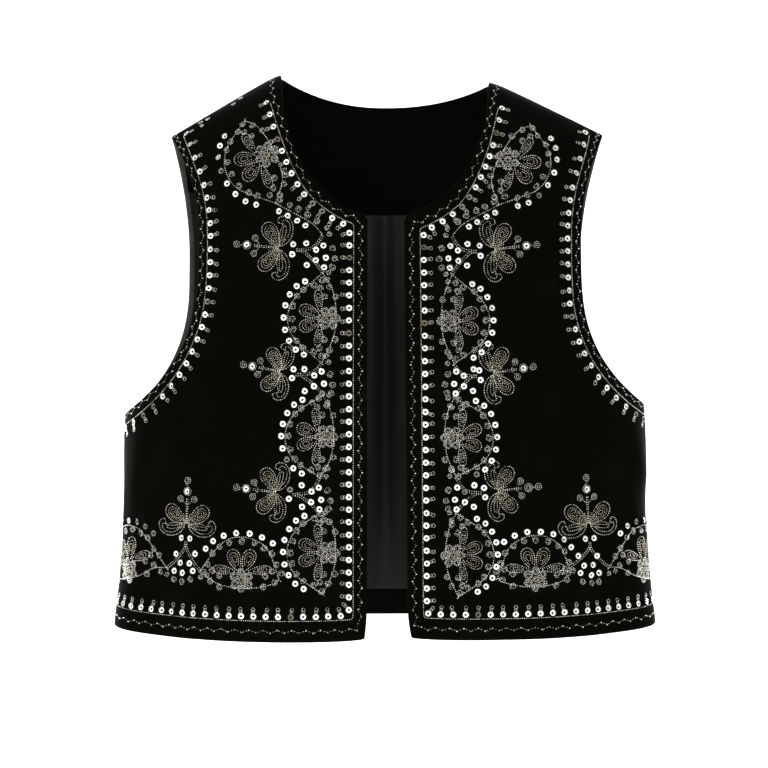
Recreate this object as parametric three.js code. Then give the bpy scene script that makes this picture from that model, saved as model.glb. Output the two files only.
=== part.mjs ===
// A short, open-fronted waistcoat, in the filled-out shape it has when it is worn, with nobody in it.
// Six cut pieces make it: a back, a right and a left front, and inside the back its lining, its neck
// facing and the facing turned up at its hem. Each piece is a closed wall of cloth bent over one
// smooth body shape. Sides are named for the wearer, who faces -Y: the wearer's right is at -X.
//
// Units are millimetres, +Z is up, and Z = 0 is halfway down the slope of the shoulders, where the
// waistcoat is carried. A point of the cloth is found from two numbers: the angle around the body,
// from the centre front by the side to the centre back, and the height measured along the cloth,
// which bends back over the shoulders.
import * as THREE from 'three';

const DEG = Math.PI / 180;

// Driving dimensions
const NECK_POINT_Z = 25.5; // top of the shoulder, beside the neck
const SHOULDER_END_Z = -25.3; // low end of the shoulder
const BACK_HEM_Z = -427; // at the centre back
const NECK_HALF_WIDTH = 87.5;
const FRONT_NECK = { halfWidth: 84.5, centreZ: 16, depth: 111.5 }; // a quarter of an ellipse
const BACK_NECK = { lowestZ: 4.5, power: 2.15, share: 0.47 }; // share of the back's top edge
const NECK_CORNER_Z = -98.5; // where each front's straight edge starts to turn into the neck
const NECK_CORNER = 3; // how far that turn reaches sideways
const SHOULDER_HALF_WIDTH = 177.5;
const SHOULDER_ROUND = 60; // radius over the top of the shoulder
const SHOULDER_SEAM_BEHIND = 12; // the seam is sewn this far behind the top
const RIDGE_BLEND = 8; // softens the ridge where it leaves the neck
const HEM_DIP_POWER = 0.6; // below 1 the front hem is lowest nearer to the centre

// The two sides hang a little differently. underarmZ and sideHemZ are the ends of the side seam, and
// hemZ is the front hem's height at the opening. The hem is hemDip lower on its way to the side.
// The opening's half gap grows from gapTop to gapHem, and by flare more at the corner.
const SIDES = {
  right: {
    underarmZ: -255, sideHemZ: -430, hemZ: -435.5, hemDip: 5,
    gapTop: 14.1, gapHem: 14.6, flare: 1.8,
    armhole: { halfWidth: 151.5, z: -112, upperPower: 2.2, lowerPower: 3.2 },
  },
  left: {
    underarmZ: -247, sideHemZ: -428.5, hemZ: -434.5, hemDip: 4.2,
    gapTop: 15.4, gapHem: 18.4, flare: 2.8,
    armhole: { halfWidth: 160, z: -112, upperPower: 2.2, lowerPower: 3.5 },
  },
};
const FLARE_HEIGHT = 26;
const BACK_ARMHOLE = { halfWidth: 165.5, z: -122, upperPower: 1.8, lowerPower: 3 };

// The left shoulder slopes less than the right one, and reaches further out.
const LEFT_SHOULDER = { neckDrop: 6, endRise: 1.5, endOut: 4, fadesAt: -120 };

// Cloth
const VELVET = 2; // velvet with its fused backing
const LINING = 1;
const SEAM_GAP = 0.3; // between pieces sewn edge to edge
const LAYER_GAP = 0.5; // between the back and what lines it
const NECK_EDGE_SHARE = 0.04; // of the neck facing's height, left free below the neck and shoulders
const LINING_EDGE_SHARE = 0.0145; // of the back's width: about the same at its sides and armholes

// The back's inside, as bands from the hem up
const HEM_FACING_TOP_Z = -405.4;
const NECK_FACING_LOW_Z = { centre: -85, armhole: -66 };
// the ease pleat down the lining's centre, which opens out over its last stretch
const PLEAT = { depth: 2.5, halfWidth: 5, openZ: -385, fullZ: -325 };

// The body shape, one row for each level along the cloth. halfWidth is to the side, and the depths
// are from the side line to the centre front and to the centre back.
const LEVELS = [
  { z: -470, halfWidth: 226.5, front: 75, back: 67 },
  { z: -430, halfWidth: 224.5, front: 75, back: 66 },
  { z: -390, halfWidth: 220, front: 76, back: 65 },
  { z: -335, halfWidth: 216.5, front: 79, back: 65 },
  { z: -270, halfWidth: 216, front: 84, back: 67 },
  { z: -200, halfWidth: 210.5, front: 85, back: 71 },
  { z: -130, halfWidth: 200, front: 76, back: 73 },
  { z: -65, halfWidth: 189, front: 66, back: 69 },
  { z: -10, halfWidth: 184, front: 60, back: 62 },
  { z: 90, halfWidth: 184, front: 60, back: 62 },
];

// The largest folds: soft ridges (+) and troughs (-) of the cloth, each along a line on the body
// from (angle, height) to (angle, height). width is from its crest to where it fades. Along its line
// a fold's strength runs through this stretch of a half wave, so it starts soft and ends strong.
const FOLD_WAVE = { from: 0.07, to: 0.62 };
const FOLDS = [
  { at: 'under the left arm', from: [70, -262], to: [80, -306], width: 11, height: 2.2 },
  { at: 'beside it', from: [62, -270], to: [70, -330], width: 14, height: -1.6 },
  { at: 'under the right arm', from: [-66, -266], to: [-74, -322], width: 12, height: 1.8 },
  { at: 'right side, low', from: [-70, -318], to: [-63, -345], width: 9, height: 1.6 },
  { at: 'left front, bust to hem', from: [33, -285], to: [36, -445], width: 26, height: 2.4 },
  { at: 'left front, towards the side', from: [57, -320], to: [60, -445], width: 24, height: -2.2 },
  { at: 'right front, bust to hem', from: [-30, -300], to: [-34, -445], width: 28, height: 2.2 },
  { at: 'right front, towards the side', from: [-55, -310], to: [-58, -445], width: 22, height: -2.4 },
  { at: 'right armhole to bust', from: [-50, -165], to: [-32, -205], width: 18, height: -1.8 },
  { at: 'left armhole to bust', from: [52, -160], to: [34, -208], width: 18, height: -2.0 },
  { at: 'back, left of centre', from: [158, -215], to: [160, -445], width: 30, height: 3.0 },
  { at: 'back, right of centre', from: [-160, -235], to: [-157, -445], width: 28, height: 2.6 },
  { at: 'back, centre hollow', from: [178, -250], to: [181, -445], width: 34, height: -2.8 },
  { at: 'back, left side', from: [128, -250], to: [131, -445], width: 26, height: 2.4 },
  { at: 'back, right side', from: [-127, -230], to: [-130, -445], width: 24, height: 2.8 },
  { at: 'back, left hollow', from: [143, -260], to: [146, -445], width: 24, height: -2.2 },
  { at: 'back, right hollow', from: [-143, -255], to: [-145, -445], width: 24, height: -2.4 },
];

// Rows of the grids, from the hem up, and columns across
const FRONT_COLUMNS = 18;
const FRONT_ROWS = { toUnderarm: 8, toNeckCorner: 8, alongNeck: 9, overShoulder: 3 };
const BACK_COLUMNS_A_SIDE = 15;
const BACK_ROWS = { hemFacing: 1, toUnderarm: 7, toNeckFacing: 9, neckFacing: 9 };
const UNDERARM_BUNCHING = 1.5; // above 1 puts the rows closer together at the underarm
// a power above 1 puts the back's columns closer together at its centre, and evenShare tempers it
const CENTRE_BUNCHING = { power: 1.9, evenShare: 0.45 };

const lerp = THREE.MathUtils.lerp;
const clamp = THREE.MathUtils.clamp;

// One column of LEVELS at a height, on a smooth curve through its rows.
function level(z, column) {
  const last = LEVELS.length - 1;
  const low = LEVELS[0];
  const high = LEVELS[last];
  if (z <= low.z) return low[column];
  if (z >= high.z) return high[column];
  const i = LEVELS.findIndex((row) => row.z > z) - 1;
  const [a, b] = [LEVELS[i], LEVELS[i + 1]];
  const slope = (k) => {
    const [p, q] = [LEVELS[Math.max(k - 1, 0)], LEVELS[Math.min(k + 1, last)]];
    return (q[column] - p[column]) / (q.z - p.z);
  };
  const span = b.z - a.z;
  const t = (z - a.z) / span;
  return (2 * t ** 3 - 3 * t ** 2 + 1) * a[column] + (t ** 3 - 2 * t ** 2 + t) * span * slope(i)
    + (3 * t ** 2 - 2 * t ** 3) * b[column] + (t ** 3 - t ** 2) * span * slope(i + 1);
}

// Height of the top of the shoulder, x across from the centre.
function ridgeZ(x) {
  const softRamp = (d) => 0.5 * (d + Math.hypot(d, RIDGE_BLEND));
  const run = softRamp(SHOULDER_HALF_WIDTH - NECK_HALF_WIDTH) - softRamp(0);
  const slope = (NECK_POINT_Z - SHOULDER_END_Z) / run;
  return NECK_POINT_Z - slope * (softRamp(Math.abs(x) - NECK_HALF_WIDTH) - softRamp(0));
}

// Height reached at a length up along the cloth, which bends over a shoulder of this ridge height.
function heightAt(up, ridge) {
  const bendZ = ridge - SHOULDER_ROUND;
  return up > bendZ ? bendZ + SHOULDER_ROUND * Math.sin((up - bendZ) / SHOULDER_ROUND) : up;
}

// Length up along the cloth to the top of the shoulder.
function ridgeUp(x) {
  return ridgeZ(x) + SHOULDER_ROUND * (Math.PI / 2 - 1);
}

// The body shape with no folds. around is in radians and up is along the cloth.
function bodyPoint(around, up) {
  const x = level(up, 'halfWidth') * Math.sin(around);
  const bend = Math.max(0, (up - ridgeZ(x)) / SHOULDER_ROUND + 1);
  const forward = Math.cos(around) * Math.cos(bend);
  const y = -forward * level(up, forward > 0 ? 'front' : 'back');
  const z = heightAt(up, ridgeZ(x));
  const outside = clamp(x / NECK_HALF_WIDTH, 0, 1) ** 2;
  const high = THREE.MathUtils.smoothstep(z, LEFT_SHOULDER.fadesAt, 0) * outside;
  const along = clamp((x - NECK_HALF_WIDTH) / (SHOULDER_HALF_WIDTH - NECK_HALF_WIDTH), 0, 1);
  const lift = lerp(-LEFT_SHOULDER.neckDrop, LEFT_SHOULDER.endRise, along);
  return new THREE.Vector3(x + LEFT_SHOULDER.endOut * along * high, y, z + lift * high);
}

// The place, as {around, up}, that is x across and up along the cloth of the front or the back.
function placeUp(x, up, isBack) {
  const angle = Math.asin(clamp(x / level(up, 'halfWidth'), -1, 1));
  return { around: isBack ? Math.PI - angle : angle, up };
}

// The place that is seen at x and z from the front or from behind.
function placeAt(x, z, isBack) {
  const bendZ = ridgeZ(x) - SHOULDER_ROUND;
  const bend = Math.asin(clamp((z - bendZ) / SHOULDER_ROUND, 0, 1));
  return placeUp(x, z <= bendZ ? z : bendZ + SHOULDER_ROUND * bend, isBack);
}

// The shoulder seam's place, a little behind the top of the shoulder.
function shoulderSeam(x, isBack) {
  return placeUp(x, ridgeUp(x) + (isBack ? -1 : 1) * SHOULDER_SEAM_BEHIND, isBack);
}

// How far the folds lift the cloth at a place: each is a soft bell across its own line.
function foldHeight(around, up) {
  const here = bodyPoint(around, up);
  let lift = 0;
  for (const fold of FOLDS) {
    const [a, b] = [fold.from, fold.to].map(([deg, z]) => bodyPoint(deg * DEG, z));
    const line = b.clone().sub(a);
    const t = clamp(here.clone().sub(a).dot(line) / line.lengthSq(), 0, 1);
    const away = here.distanceTo(a.clone().addScaledVector(line, t)) / fold.width;
    const strength = Math.sin(Math.PI * lerp(FOLD_WAVE.from, FOLD_WAVE.to, t));
    lift += fold.height * strength * Math.exp(-away * away);
  }
  return lift;
}

// Small steps, in radians around and millimetres up, that give the slope of the cloth.
const STEP = { around: 0.002, up: 0.4 };

// Outward direction of the body shape at a place.
function outward(around, up) {
  const across = bodyPoint(around + STEP.around, up).sub(bodyPoint(around - STEP.around, up));
  const rise = bodyPoint(around, up + STEP.up).sub(bodyPoint(around, up - STEP.up));
  return across.cross(rise).normalize();
}

// The point of the cloth at a place, moved out (+) or in (-) from the middle of the velvet.
function clothPoint({ around, up }, out) {
  return bodyPoint(around, up).addScaledVector(outward(around, up), foldHeight(around, up) + out);
}

const evenShares = (n) => Array.from({ length: n + 1 }, (_, i) => i / n);

// Half width of an armhole's edge at a height, from its narrowest level up or down.
function armholeX(z, hole, underarmZ) {
  const isUpper = z > hole.z;
  const share = clamp((z - hole.z) / ((isUpper ? SHOULDER_END_Z : underarmZ) - hole.z), 0, 1);
  const end = isUpper ? SHOULDER_HALF_WIDTH : level(underarmZ, 'halfWidth');
  return lerp(hole.halfWidth, end, share ** (isUpper ? hole.upperPower : hole.lowerPower));
}

// The place on an armhole's edge at a length up along the cloth at the shoulder's end.
function armholePlace(up, hole, underarmZ, isBack) {
  if (up >= ridgeUp(SHOULDER_HALF_WIDTH)) return placeUp(SHOULDER_HALF_WIDTH, up, isBack);
  const z = heightAt(up, SHOULDER_END_Z);
  return placeAt(armholeX(z, hole, underarmZ), z, isBack);
}

// Moves a place sideways along the cloth, towards the centre front (-) or centre back (+).
function shifted({ around, up }, distance) {
  const moved = bodyPoint(around + STEP.around, up).distanceTo(bodyPoint(around, up));
  return { around: around + distance * STEP.around / moved, up };
}

// A place on the wearer's other side, on a front or on the back.
const mirrored = (at) => ({ around: -at.around, up: at.up });
const mirroredBack = (at) => ({ around: 2 * Math.PI - at.around, up: at.up });

// A grid of places filling the space between four edges. low and high run sideways, with a place for
// each share, start and end run upwards, with a place for each rise, and they meet at the corners.
function filledGrid(low, high, start, end, shares, rises) {
  const last = shares.length - 1;
  return rises.map((v, r) => shares.map((u, c) => {
    const blend = (key) => {
      const corners = lerp(lerp(low[0][key], low[last][key], u), lerp(high[0][key], high[last][key], u), v);
      return lerp(low[c][key], high[c][key], v) + lerp(start[r][key], end[r][key], u) - corners;
    };
    return { around: blend('around'), up: blend('up') };
  }));
}

// A closed wall over a grid of places, from inner to outer distance off the middle of the velvet.
// grid[row][column] runs up the cloth and, seen from outside, from left to right.
function wallGeometry(grid, inner, outer, relief = () => 0) {
  const rows = grid.length;
  const columns = grid[0].length;
  const positions = [];
  const index = [];
  for (const out of [outer, inner]) {
    for (const row of grid) {
      for (const at of row) positions.push(...clothPoint(at, out + relief(at)).toArray());
    }
  }
  const id = (layer, row, column) => (layer * rows + row) * columns + column;
  const quad = (a, b, c, d) => index.push(a, b, c, a, c, d);
  for (let r = 0; r + 1 < rows; r += 1) {
    for (let c = 0; c + 1 < columns; c += 1) {
      quad(id(0, r, c), id(0, r, c + 1), id(0, r + 1, c + 1), id(0, r + 1, c));
      quad(id(1, r, c), id(1, r + 1, c), id(1, r + 1, c + 1), id(1, r, c + 1));
    }
  }
  for (let c = 0; c + 1 < columns; c += 1) {
    quad(id(0, 0, c), id(1, 0, c), id(1, 0, c + 1), id(0, 0, c + 1));
    quad(id(0, rows - 1, c), id(0, rows - 1, c + 1), id(1, rows - 1, c + 1), id(1, rows - 1, c));
  }
  const last = columns - 1;
  for (let r = 0; r + 1 < rows; r += 1) {
    quad(id(0, r, 0), id(0, r + 1, 0), id(1, r + 1, 0), id(1, r, 0));
    quad(id(0, r, last), id(1, r, last), id(1, r + 1, last), id(0, r + 1, last));
  }
  const geometry = new THREE.BufferGeometry();
  geometry.setAttribute('position', new THREE.Float32BufferAttribute(positions, 3));
  geometry.setIndex(index);
  geometry.computeVertexNormals();
  return geometry;
}

// Half gap of the opening at a height.
function gapX(z, side) {
  const low = clamp(1 - (z - side.hemZ) / FLARE_HEIGHT, 0, 1);
  const along = clamp((z - NECK_CORNER_Z) / (side.hemZ - NECK_CORNER_Z), 0, 1);
  return lerp(side.gapTop, side.gapHem, along) + side.flare * low * low;
}

// Inner edge of a front: up the opening, along the neck and over the shoulder.
function frontInnerEdge(side) {
  const edge = [];
  const straight = (from, to, rows) => evenShares(rows).forEach((t) => {
    const z = lerp(from, to, t);
    edge.push(placeAt(gapX(z, side), z, false));
  });
  straight(side.hemZ, side.underarmZ, FRONT_ROWS.toUnderarm);
  edge.pop();
  straight(side.underarmZ, NECK_CORNER_Z, FRONT_ROWS.toNeckCorner);
  const startAngle = Math.acos((side.gapTop + NECK_CORNER) / FRONT_NECK.halfWidth);
  for (const t of evenShares(FRONT_ROWS.alongNeck - 1)) {
    const angle = startAngle * (1 - t);
    const z = FRONT_NECK.centreZ - FRONT_NECK.depth * Math.sin(angle);
    edge.push(placeAt(FRONT_NECK.halfWidth * Math.cos(angle), z, false));
  }
  const seamUp = shoulderSeam(NECK_HALF_WIDTH, false).up;
  const neckUp = edge[edge.length - 1].up;
  for (const t of evenShares(FRONT_ROWS.overShoulder).slice(1)) {
    const x = lerp(FRONT_NECK.halfWidth, NECK_HALF_WIDTH, t);
    edge.push(placeUp(x, lerp(neckUp, seamUp, t), false));
  }
  return edge;
}

// Outer edge of a front: up the side seam, then round the armhole to the shoulder seam.
function frontOuterEdge(side) {
  const edge = evenShares(FRONT_ROWS.toUnderarm).map((t) => {
    const up = lerp(side.sideHemZ, side.underarmZ, t);
    return shifted({ around: 90 * DEG, up }, -SEAM_GAP / 2);
  });
  for (const t of evenShares(FRONT_ROWS.toNeckCorner).slice(1)) {
    const up = lerp(side.underarmZ, side.armhole.z, t ** UNDERARM_BUNCHING);
    edge.push(armholePlace(up, side.armhole, side.underarmZ, false));
  }
  const seamUp = shoulderSeam(SHOULDER_HALF_WIDTH, false).up;
  for (const t of evenShares(FRONT_ROWS.alongNeck + FRONT_ROWS.overShoulder).slice(1)) {
    const up = lerp(side.armhole.z, seamUp, t);
    edge.push(armholePlace(up, side.armhole, side.underarmZ, false));
  }
  return edge;
}

// A front's grid. It is drawn for the wearer's left and mirrored for the right.
function frontGrid(sideName) {
  const side = SIDES[sideName];
  const start = frontInnerEdge(side);
  const end = frontOuterEdge(side);
  const shares = evenShares(FRONT_COLUMNS);
  const hem = shares.map((u) => ({
    around: lerp(start[0].around, end[0].around, u),
    up: lerp(start[0].up, end[0].up, u) - side.hemDip * Math.sin(Math.PI * u ** HEM_DIP_POWER),
  }));
  const top = end.length - 1;
  const seam = shares.map((u) => {
    const around = lerp(start[top].around, end[top].around, u);
    const x = level(start[top].up, 'halfWidth') * Math.sin(around);
    return shoulderSeam(x, false);
  });
  const grid = filledGrid(hem, seam, start, end, shares, evenShares(top));
  for (const at of grid[top]) at.up -= SEAM_GAP / 2;
  return sideName === 'left' ? grid : grid.map((row) => row.map(mirrored).reverse());
}

// Height of the back's neck edge, x across.
function backNeckZ(x) {
  const share = Math.min(1, Math.abs(x) / NECK_HALF_WIDTH);
  return lerp(BACK_NECK.lowestZ, NECK_POINT_Z, share ** BACK_NECK.power);
}

// Shares across the back. They are closer together at the centre, for the lining's pleat, and the
// first and last stretches are the strip that the lining leaves free.
function backShares() {
  const half = evenShares(BACK_COLUMNS_A_SIDE).map((t) => {
    const bunched = lerp(t ** CENTRE_BUNCHING.power, t, CENTRE_BUNCHING.evenShare);
    return (0.5 - LINING_EDGE_SHARE) * bunched;
  });
  half.push(0.5);
  return [...half.slice(1).reverse().map((t) => 0.5 - t), ...half.map((t) => 0.5 + t)];
}

// Shares up the four bands of the back's grid. The last has a narrow row along its top edge, which
// the neck facing leaves free.
const bandRises = [
  evenShares(BACK_ROWS.hemFacing),
  evenShares(BACK_ROWS.toUnderarm),
  evenShares(BACK_ROWS.toNeckFacing),
  [...evenShares(BACK_ROWS.neckFacing).map((t) => t * (1 - NECK_EDGE_SHARE)), 1],
];

// One side edge of the back, band by band.
function backEdge(side) {
  const facingUp = side.sideHemZ + HEM_FACING_TOP_Z - BACK_HEM_Z;
  const seamUp = shoulderSeam(SHOULDER_HALF_WIDTH, true).up;
  const alongSeam = (up) => shifted({ around: 90 * DEG, up }, SEAM_GAP / 2);
  const alongHole = (up) => armholePlace(up, BACK_ARMHOLE, side.underarmZ, true);
  const run = (band, from, to, placeOf, bunching = 1) =>
    bandRises[band].map((t) => placeOf(lerp(from, to, t ** bunching)));
  const bands = [
    run(0, side.sideHemZ, facingUp, alongSeam),
    run(1, facingUp, side.underarmZ, alongSeam),
    run(2, side.underarmZ, NECK_FACING_LOW_Z.armhole, alongHole, UNDERARM_BUNCHING),
    run(3, NECK_FACING_LOW_Z.armhole, seamUp, alongHole),
  ];
  bands[2][0] = alongSeam(side.underarmZ);
  bands[3][bands[3].length - 1] = shoulderSeam(SHOULDER_HALF_WIDTH, true);
  return bands;
}

// A line across the back between two places, lowered or raised by rise at its centre.
function acrossBack(from, to, shares, rise) {
  return shares.map((s) => ({
    around: lerp(from.around, to.around, s),
    up: lerp(from.up, to.up, s) + rise * (1 - (2 * s - 1) ** 2),
  }));
}

// The top edge of the back: a shoulder seam, the neck and the other shoulder seam.
function backTopEdge(shares) {
  const neckUp = shoulderSeam(NECK_HALF_WIDTH, true).up;
  return shares.map((s) => {
    const off = Math.abs(2 * s - 1);
    const alongShoulder = (off - BACK_NECK.share) / (1 - BACK_NECK.share);
    let at = shoulderSeam(lerp(NECK_HALF_WIDTH, SHOULDER_HALF_WIDTH, alongShoulder), true);
    if (off <= BACK_NECK.share) {
      const x = NECK_HALF_WIDTH * off / BACK_NECK.share;
      at = placeAt(x, backNeckZ(x), true);
      at.up = Math.min(at.up, neckUp);
    }
    at.up -= SEAM_GAP / 2;
    return s < 0.5 ? at : mirroredBack(at);
  });
}

// The back's grid, as seen from behind, and the rows where its bands meet.
function backGrid() {
  const shares = backShares();
  const start = backEdge(SIDES.left);
  const end = backEdge(SIDES.right).map((band) => band.map(mirroredBack));
  const endOf = (band) => band[band.length - 1];
  const sideHemZ = (SIDES.left.sideHemZ + SIDES.right.sideHemZ) / 2;
  const hemRise = BACK_HEM_Z - sideHemZ;
  const facingRise = NECK_FACING_LOW_Z.centre - NECK_FACING_LOW_Z.armhole;
  const lines = [
    acrossBack(start[0][0], end[0][0], shares, hemRise),
    acrossBack(start[1][0], end[1][0], shares, hemRise),
    acrossBack(start[2][0], end[2][0], shares, 0),
    acrossBack(start[3][0], end[3][0], shares, facingRise),
    backTopEdge(shares),
  ];
  const top = lines[4];
  endOf(start[3]).up = top[0].up;
  endOf(end[3]).up = top[top.length - 1].up;
  const grid = [];
  const seams = [0];
  start.forEach((band, i) => {
    const rows = filledGrid(lines[i], lines[i + 1], band, end[i], shares, bandRises[i]);
    grid.push(...(i > 0 ? rows.slice(1) : rows));
    seams.push(grid.length - 1);
  });
  return { grid, seams };
}

// A band of the back for what lies inside it: the rows between two lines, without the outermost
// columns, and trimmed by these lengths at its low and its high edge.
function innerBand(grid, firstRow, lastRow, trim) {
  const rows = grid.slice(firstRow, lastRow + 1).map((row) => row.slice(1, -1).map((at) => ({ ...at })));
  const moveRow = (row, towards, distance) => row.forEach((at, c) => {
    const share = distance / Math.abs(towards[c].up - at.up);
    at.around = lerp(at.around, towards[c].around, share);
    at.up = lerp(at.up, towards[c].up, share);
  });
  moveRow(rows[0], rows[1], trim.low);
  moveRow(rows[rows.length - 1], rows[rows.length - 2], trim.high);
  return rows;
}

// The lining's ease pleat: a soft ridge down the centre back that opens out above the hem.
function pleatRelief({ around, up }) {
  const across = (around - Math.PI) * level(up, 'halfWidth');
  const held = clamp((up - PLEAT.openZ) / (PLEAT.fullZ - PLEAT.openZ), 0, 1);
  return -PLEAT.depth * held * Math.exp(-((across / PLEAT.halfWidth) ** 2));
}

const velvet = new THREE.MeshStandardMaterial({ color: '#0b0b09', roughness: 0.95, metalness: 0 });
const satin = new THREE.MeshStandardMaterial({ color: '#1d1b17', roughness: 0.4, metalness: 0 });
const facingCloth = new THREE.MeshStandardMaterial({ color: '#0c0c0a', roughness: 0.8, metalness: 0 });

function piece(name, geometry, material) {
  const mesh = new THREE.Mesh(geometry, material);
  mesh.name = name;
  return mesh;
}

const waistcoat = new THREE.Group();
waistcoat.name = 'waistcoat';

for (const side of ['right', 'left']) {
  const geometry = wallGeometry(frontGrid(side), -VELVET / 2, VELVET / 2);
  waistcoat.add(piece(`front_${side}`, geometry, velvet));
}

const back = backGrid();
waistcoat.add(piece('back', wallGeometry(back.grid, -VELVET / 2, VELVET / 2), velvet));

const liningOuter = -VELVET / 2 - LAYER_GAP;
const liningInner = liningOuter - LINING;
const [hemRow, hemFacingRow, , neckFacingRow, topRow] = back.seams;
const halfSeam = SEAM_GAP / 2;
const hemFacing = innerBand(back.grid, hemRow, hemFacingRow, { low: 1, high: halfSeam });
const lining = innerBand(back.grid, hemFacingRow, neckFacingRow, { low: halfSeam, high: halfSeam });
const neckFacing = innerBand(back.grid, neckFacingRow, topRow - 1, { low: halfSeam, high: 0 });
waistcoat.add(piece('back_hem_facing', wallGeometry(hemFacing, liningInner, liningOuter), facingCloth));
waistcoat.add(piece('back_lining', wallGeometry(lining, liningInner, liningOuter, pleatRelief), satin));
waistcoat.add(piece('back_neck_facing', wallGeometry(neckFacing, liningInner, liningOuter), facingCloth));

export default waistcoat;
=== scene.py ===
# %% [markdown]
# # A short velvet waistcoat with metal-thread and sequin embroidery
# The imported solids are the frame: plain walls of cloth in the right places. This script dresses
# them. It lays fine velvet shells over the two fronts and the back, lines the back with satin, and
# then sews the embroidery on: sequins, chain-stitched lines, wheels, palms and medallions.

# %% Load the frame
import math

import bpy
import numpy as np
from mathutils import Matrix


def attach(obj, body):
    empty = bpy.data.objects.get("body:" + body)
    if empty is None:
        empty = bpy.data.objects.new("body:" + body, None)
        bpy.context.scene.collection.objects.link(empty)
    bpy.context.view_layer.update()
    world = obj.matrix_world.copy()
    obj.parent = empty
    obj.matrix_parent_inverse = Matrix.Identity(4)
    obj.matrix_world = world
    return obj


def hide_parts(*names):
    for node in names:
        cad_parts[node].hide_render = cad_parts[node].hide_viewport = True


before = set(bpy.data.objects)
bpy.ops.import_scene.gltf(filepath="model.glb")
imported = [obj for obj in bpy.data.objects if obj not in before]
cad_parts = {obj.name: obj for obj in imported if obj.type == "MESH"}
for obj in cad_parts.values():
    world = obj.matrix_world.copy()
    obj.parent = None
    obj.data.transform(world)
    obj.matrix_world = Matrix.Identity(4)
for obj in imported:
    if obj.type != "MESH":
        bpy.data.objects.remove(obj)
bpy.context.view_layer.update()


print("nodes:", sorted(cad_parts))

# %% [markdown]
# ## The body shape
# Every piece of this garment is cloth bent over one body, so the script starts from that body and
# not from separate meshes. A place on the cloth has two numbers: the angle around the body from the
# centre front, and the length up along the cloth, which bends back over the shoulders. Sizes are in
# a tailor's millimetres and are turned to metres when a mesh is made. They are the frame's own
# sizes, so that the velvet lies where the solids are.

# %% Units and small helpers
MM = 0.001
DEG = math.pi / 180


def lerp(a, b, t):
    return a + (b - a) * t


def smooth_step(x, low, high):
    t = np.clip((x - low) / (high - low), 0, 1)
    return t * t * (3 - 2 * t)


def shares(n):
    return np.linspace(0, 1, n + 1)


def unit(vectors):
    return vectors / np.linalg.norm(vectors, axis=-1, keepdims=True)


def compass(angle):
    """The unit direction at each angle."""
    return np.stack([np.cos(angle), np.sin(angle)], axis=-1)


# %% The levels of the body
# Half the width to the side, and the depths to the centre front and the centre back, at each height.
LEVEL_Z = np.array([-470, -430, -390, -335, -270, -200, -130, -65, -10, 90.0])
BODY = {
    "half_width": np.array([226.5, 224.5, 220, 216.5, 216, 210.5, 200, 189, 184, 184]),
    "front": np.array([75, 75, 76, 79, 84, 85, 76, 66, 60, 60.0]),
    "back": np.array([67, 66, 65, 65, 67, 71, 73, 69, 62, 62.0]),
}


def level(up, size):
    """One size of the body at a length up along the cloth, on a smooth curve through its levels."""
    values = BODY[size]
    slope = np.empty_like(values)
    slope[1:-1] = (values[2:] - values[:-2]) / (LEVEL_Z[2:] - LEVEL_Z[:-2])
    slope[0] = (values[1] - values[0]) / (LEVEL_Z[1] - LEVEL_Z[0])
    slope[-1] = (values[-1] - values[-2]) / (LEVEL_Z[-1] - LEVEL_Z[-2])
    up = np.clip(up, LEVEL_Z[0], LEVEL_Z[-1])
    i = np.clip(np.searchsorted(LEVEL_Z, up, side="right") - 1, 0, len(LEVEL_Z) - 2)
    span = LEVEL_Z[i + 1] - LEVEL_Z[i]
    t = (up - LEVEL_Z[i]) / span
    return (
        (2 * t**3 - 3 * t**2 + 1) * values[i] + (t**3 - 2 * t**2 + t) * span * slope[i]
        + (3 * t**2 - 2 * t**3) * values[i + 1] + (t**3 - t**2) * span * slope[i + 1]
    )


print("half width at the underarm, mm:", round(float(level(-251.0, "half_width")), 1))

# %% [markdown]
# ## The shoulders
# Above the chest the cloth leaves the upright and bends back over the shoulder on a 60 mm round.
# The top of the shoulder slopes down from the neck. The left shoulder hangs a little differently
# from the right one, as in the photo.

# %% Shoulder line
NECK_POINT_Z = 25.5
SHOULDER_END_Z = -25.3
NECK_HALF_WIDTH = 87.5
SHOULDER_HALF_WIDTH = 177.5
SHOULDER_ROUND = 60
SEAM_BEHIND = 12
RIDGE_BLEND = 8
LEFT_SHOULDER = {"neck_drop": 6, "end_rise": 1.5, "end_out": 4, "fades_at": -120}


def ridge_z(x):
    def ramp(d):
        return 0.5 * (d + np.hypot(d, RIDGE_BLEND))
    slope = (NECK_POINT_Z - SHOULDER_END_Z) / (ramp(SHOULDER_HALF_WIDTH - NECK_HALF_WIDTH) - ramp(0))
    return NECK_POINT_Z - slope * (ramp(np.abs(x) - NECK_HALF_WIDTH) - ramp(0))


def height_at(up, ridge):
    bend_z = ridge - SHOULDER_ROUND
    over = np.clip(up - bend_z, 0, None)
    return np.where(up > bend_z, bend_z + SHOULDER_ROUND * np.sin(over / SHOULDER_ROUND), up)


def ridge_up(x):
    return ridge_z(x) + SHOULDER_ROUND * (math.pi / 2 - 1)


def body_point(around, up):
    """The point of the body at a place, with no folds, in mm."""
    x = level(up, "half_width") * np.sin(around)
    bend = np.maximum(0, (up - ridge_z(x)) / SHOULDER_ROUND + 1)
    forward = np.cos(around) * np.cos(bend)
    y = -forward * np.where(forward > 0, level(up, "front"), level(up, "back"))
    z = height_at(up, ridge_z(x))
    high = smooth_step(z, LEFT_SHOULDER["fades_at"], 0) * np.clip(x / NECK_HALF_WIDTH, 0, 1) ** 2
    along = np.clip((x - NECK_HALF_WIDTH) / (SHOULDER_HALF_WIDTH - NECK_HALF_WIDTH), 0, 1)
    lift = lerp(-LEFT_SHOULDER["neck_drop"], LEFT_SHOULDER["end_rise"], along)
    return np.stack([x + LEFT_SHOULDER["end_out"] * along * high, y, z + lift * high], axis=-1)


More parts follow.
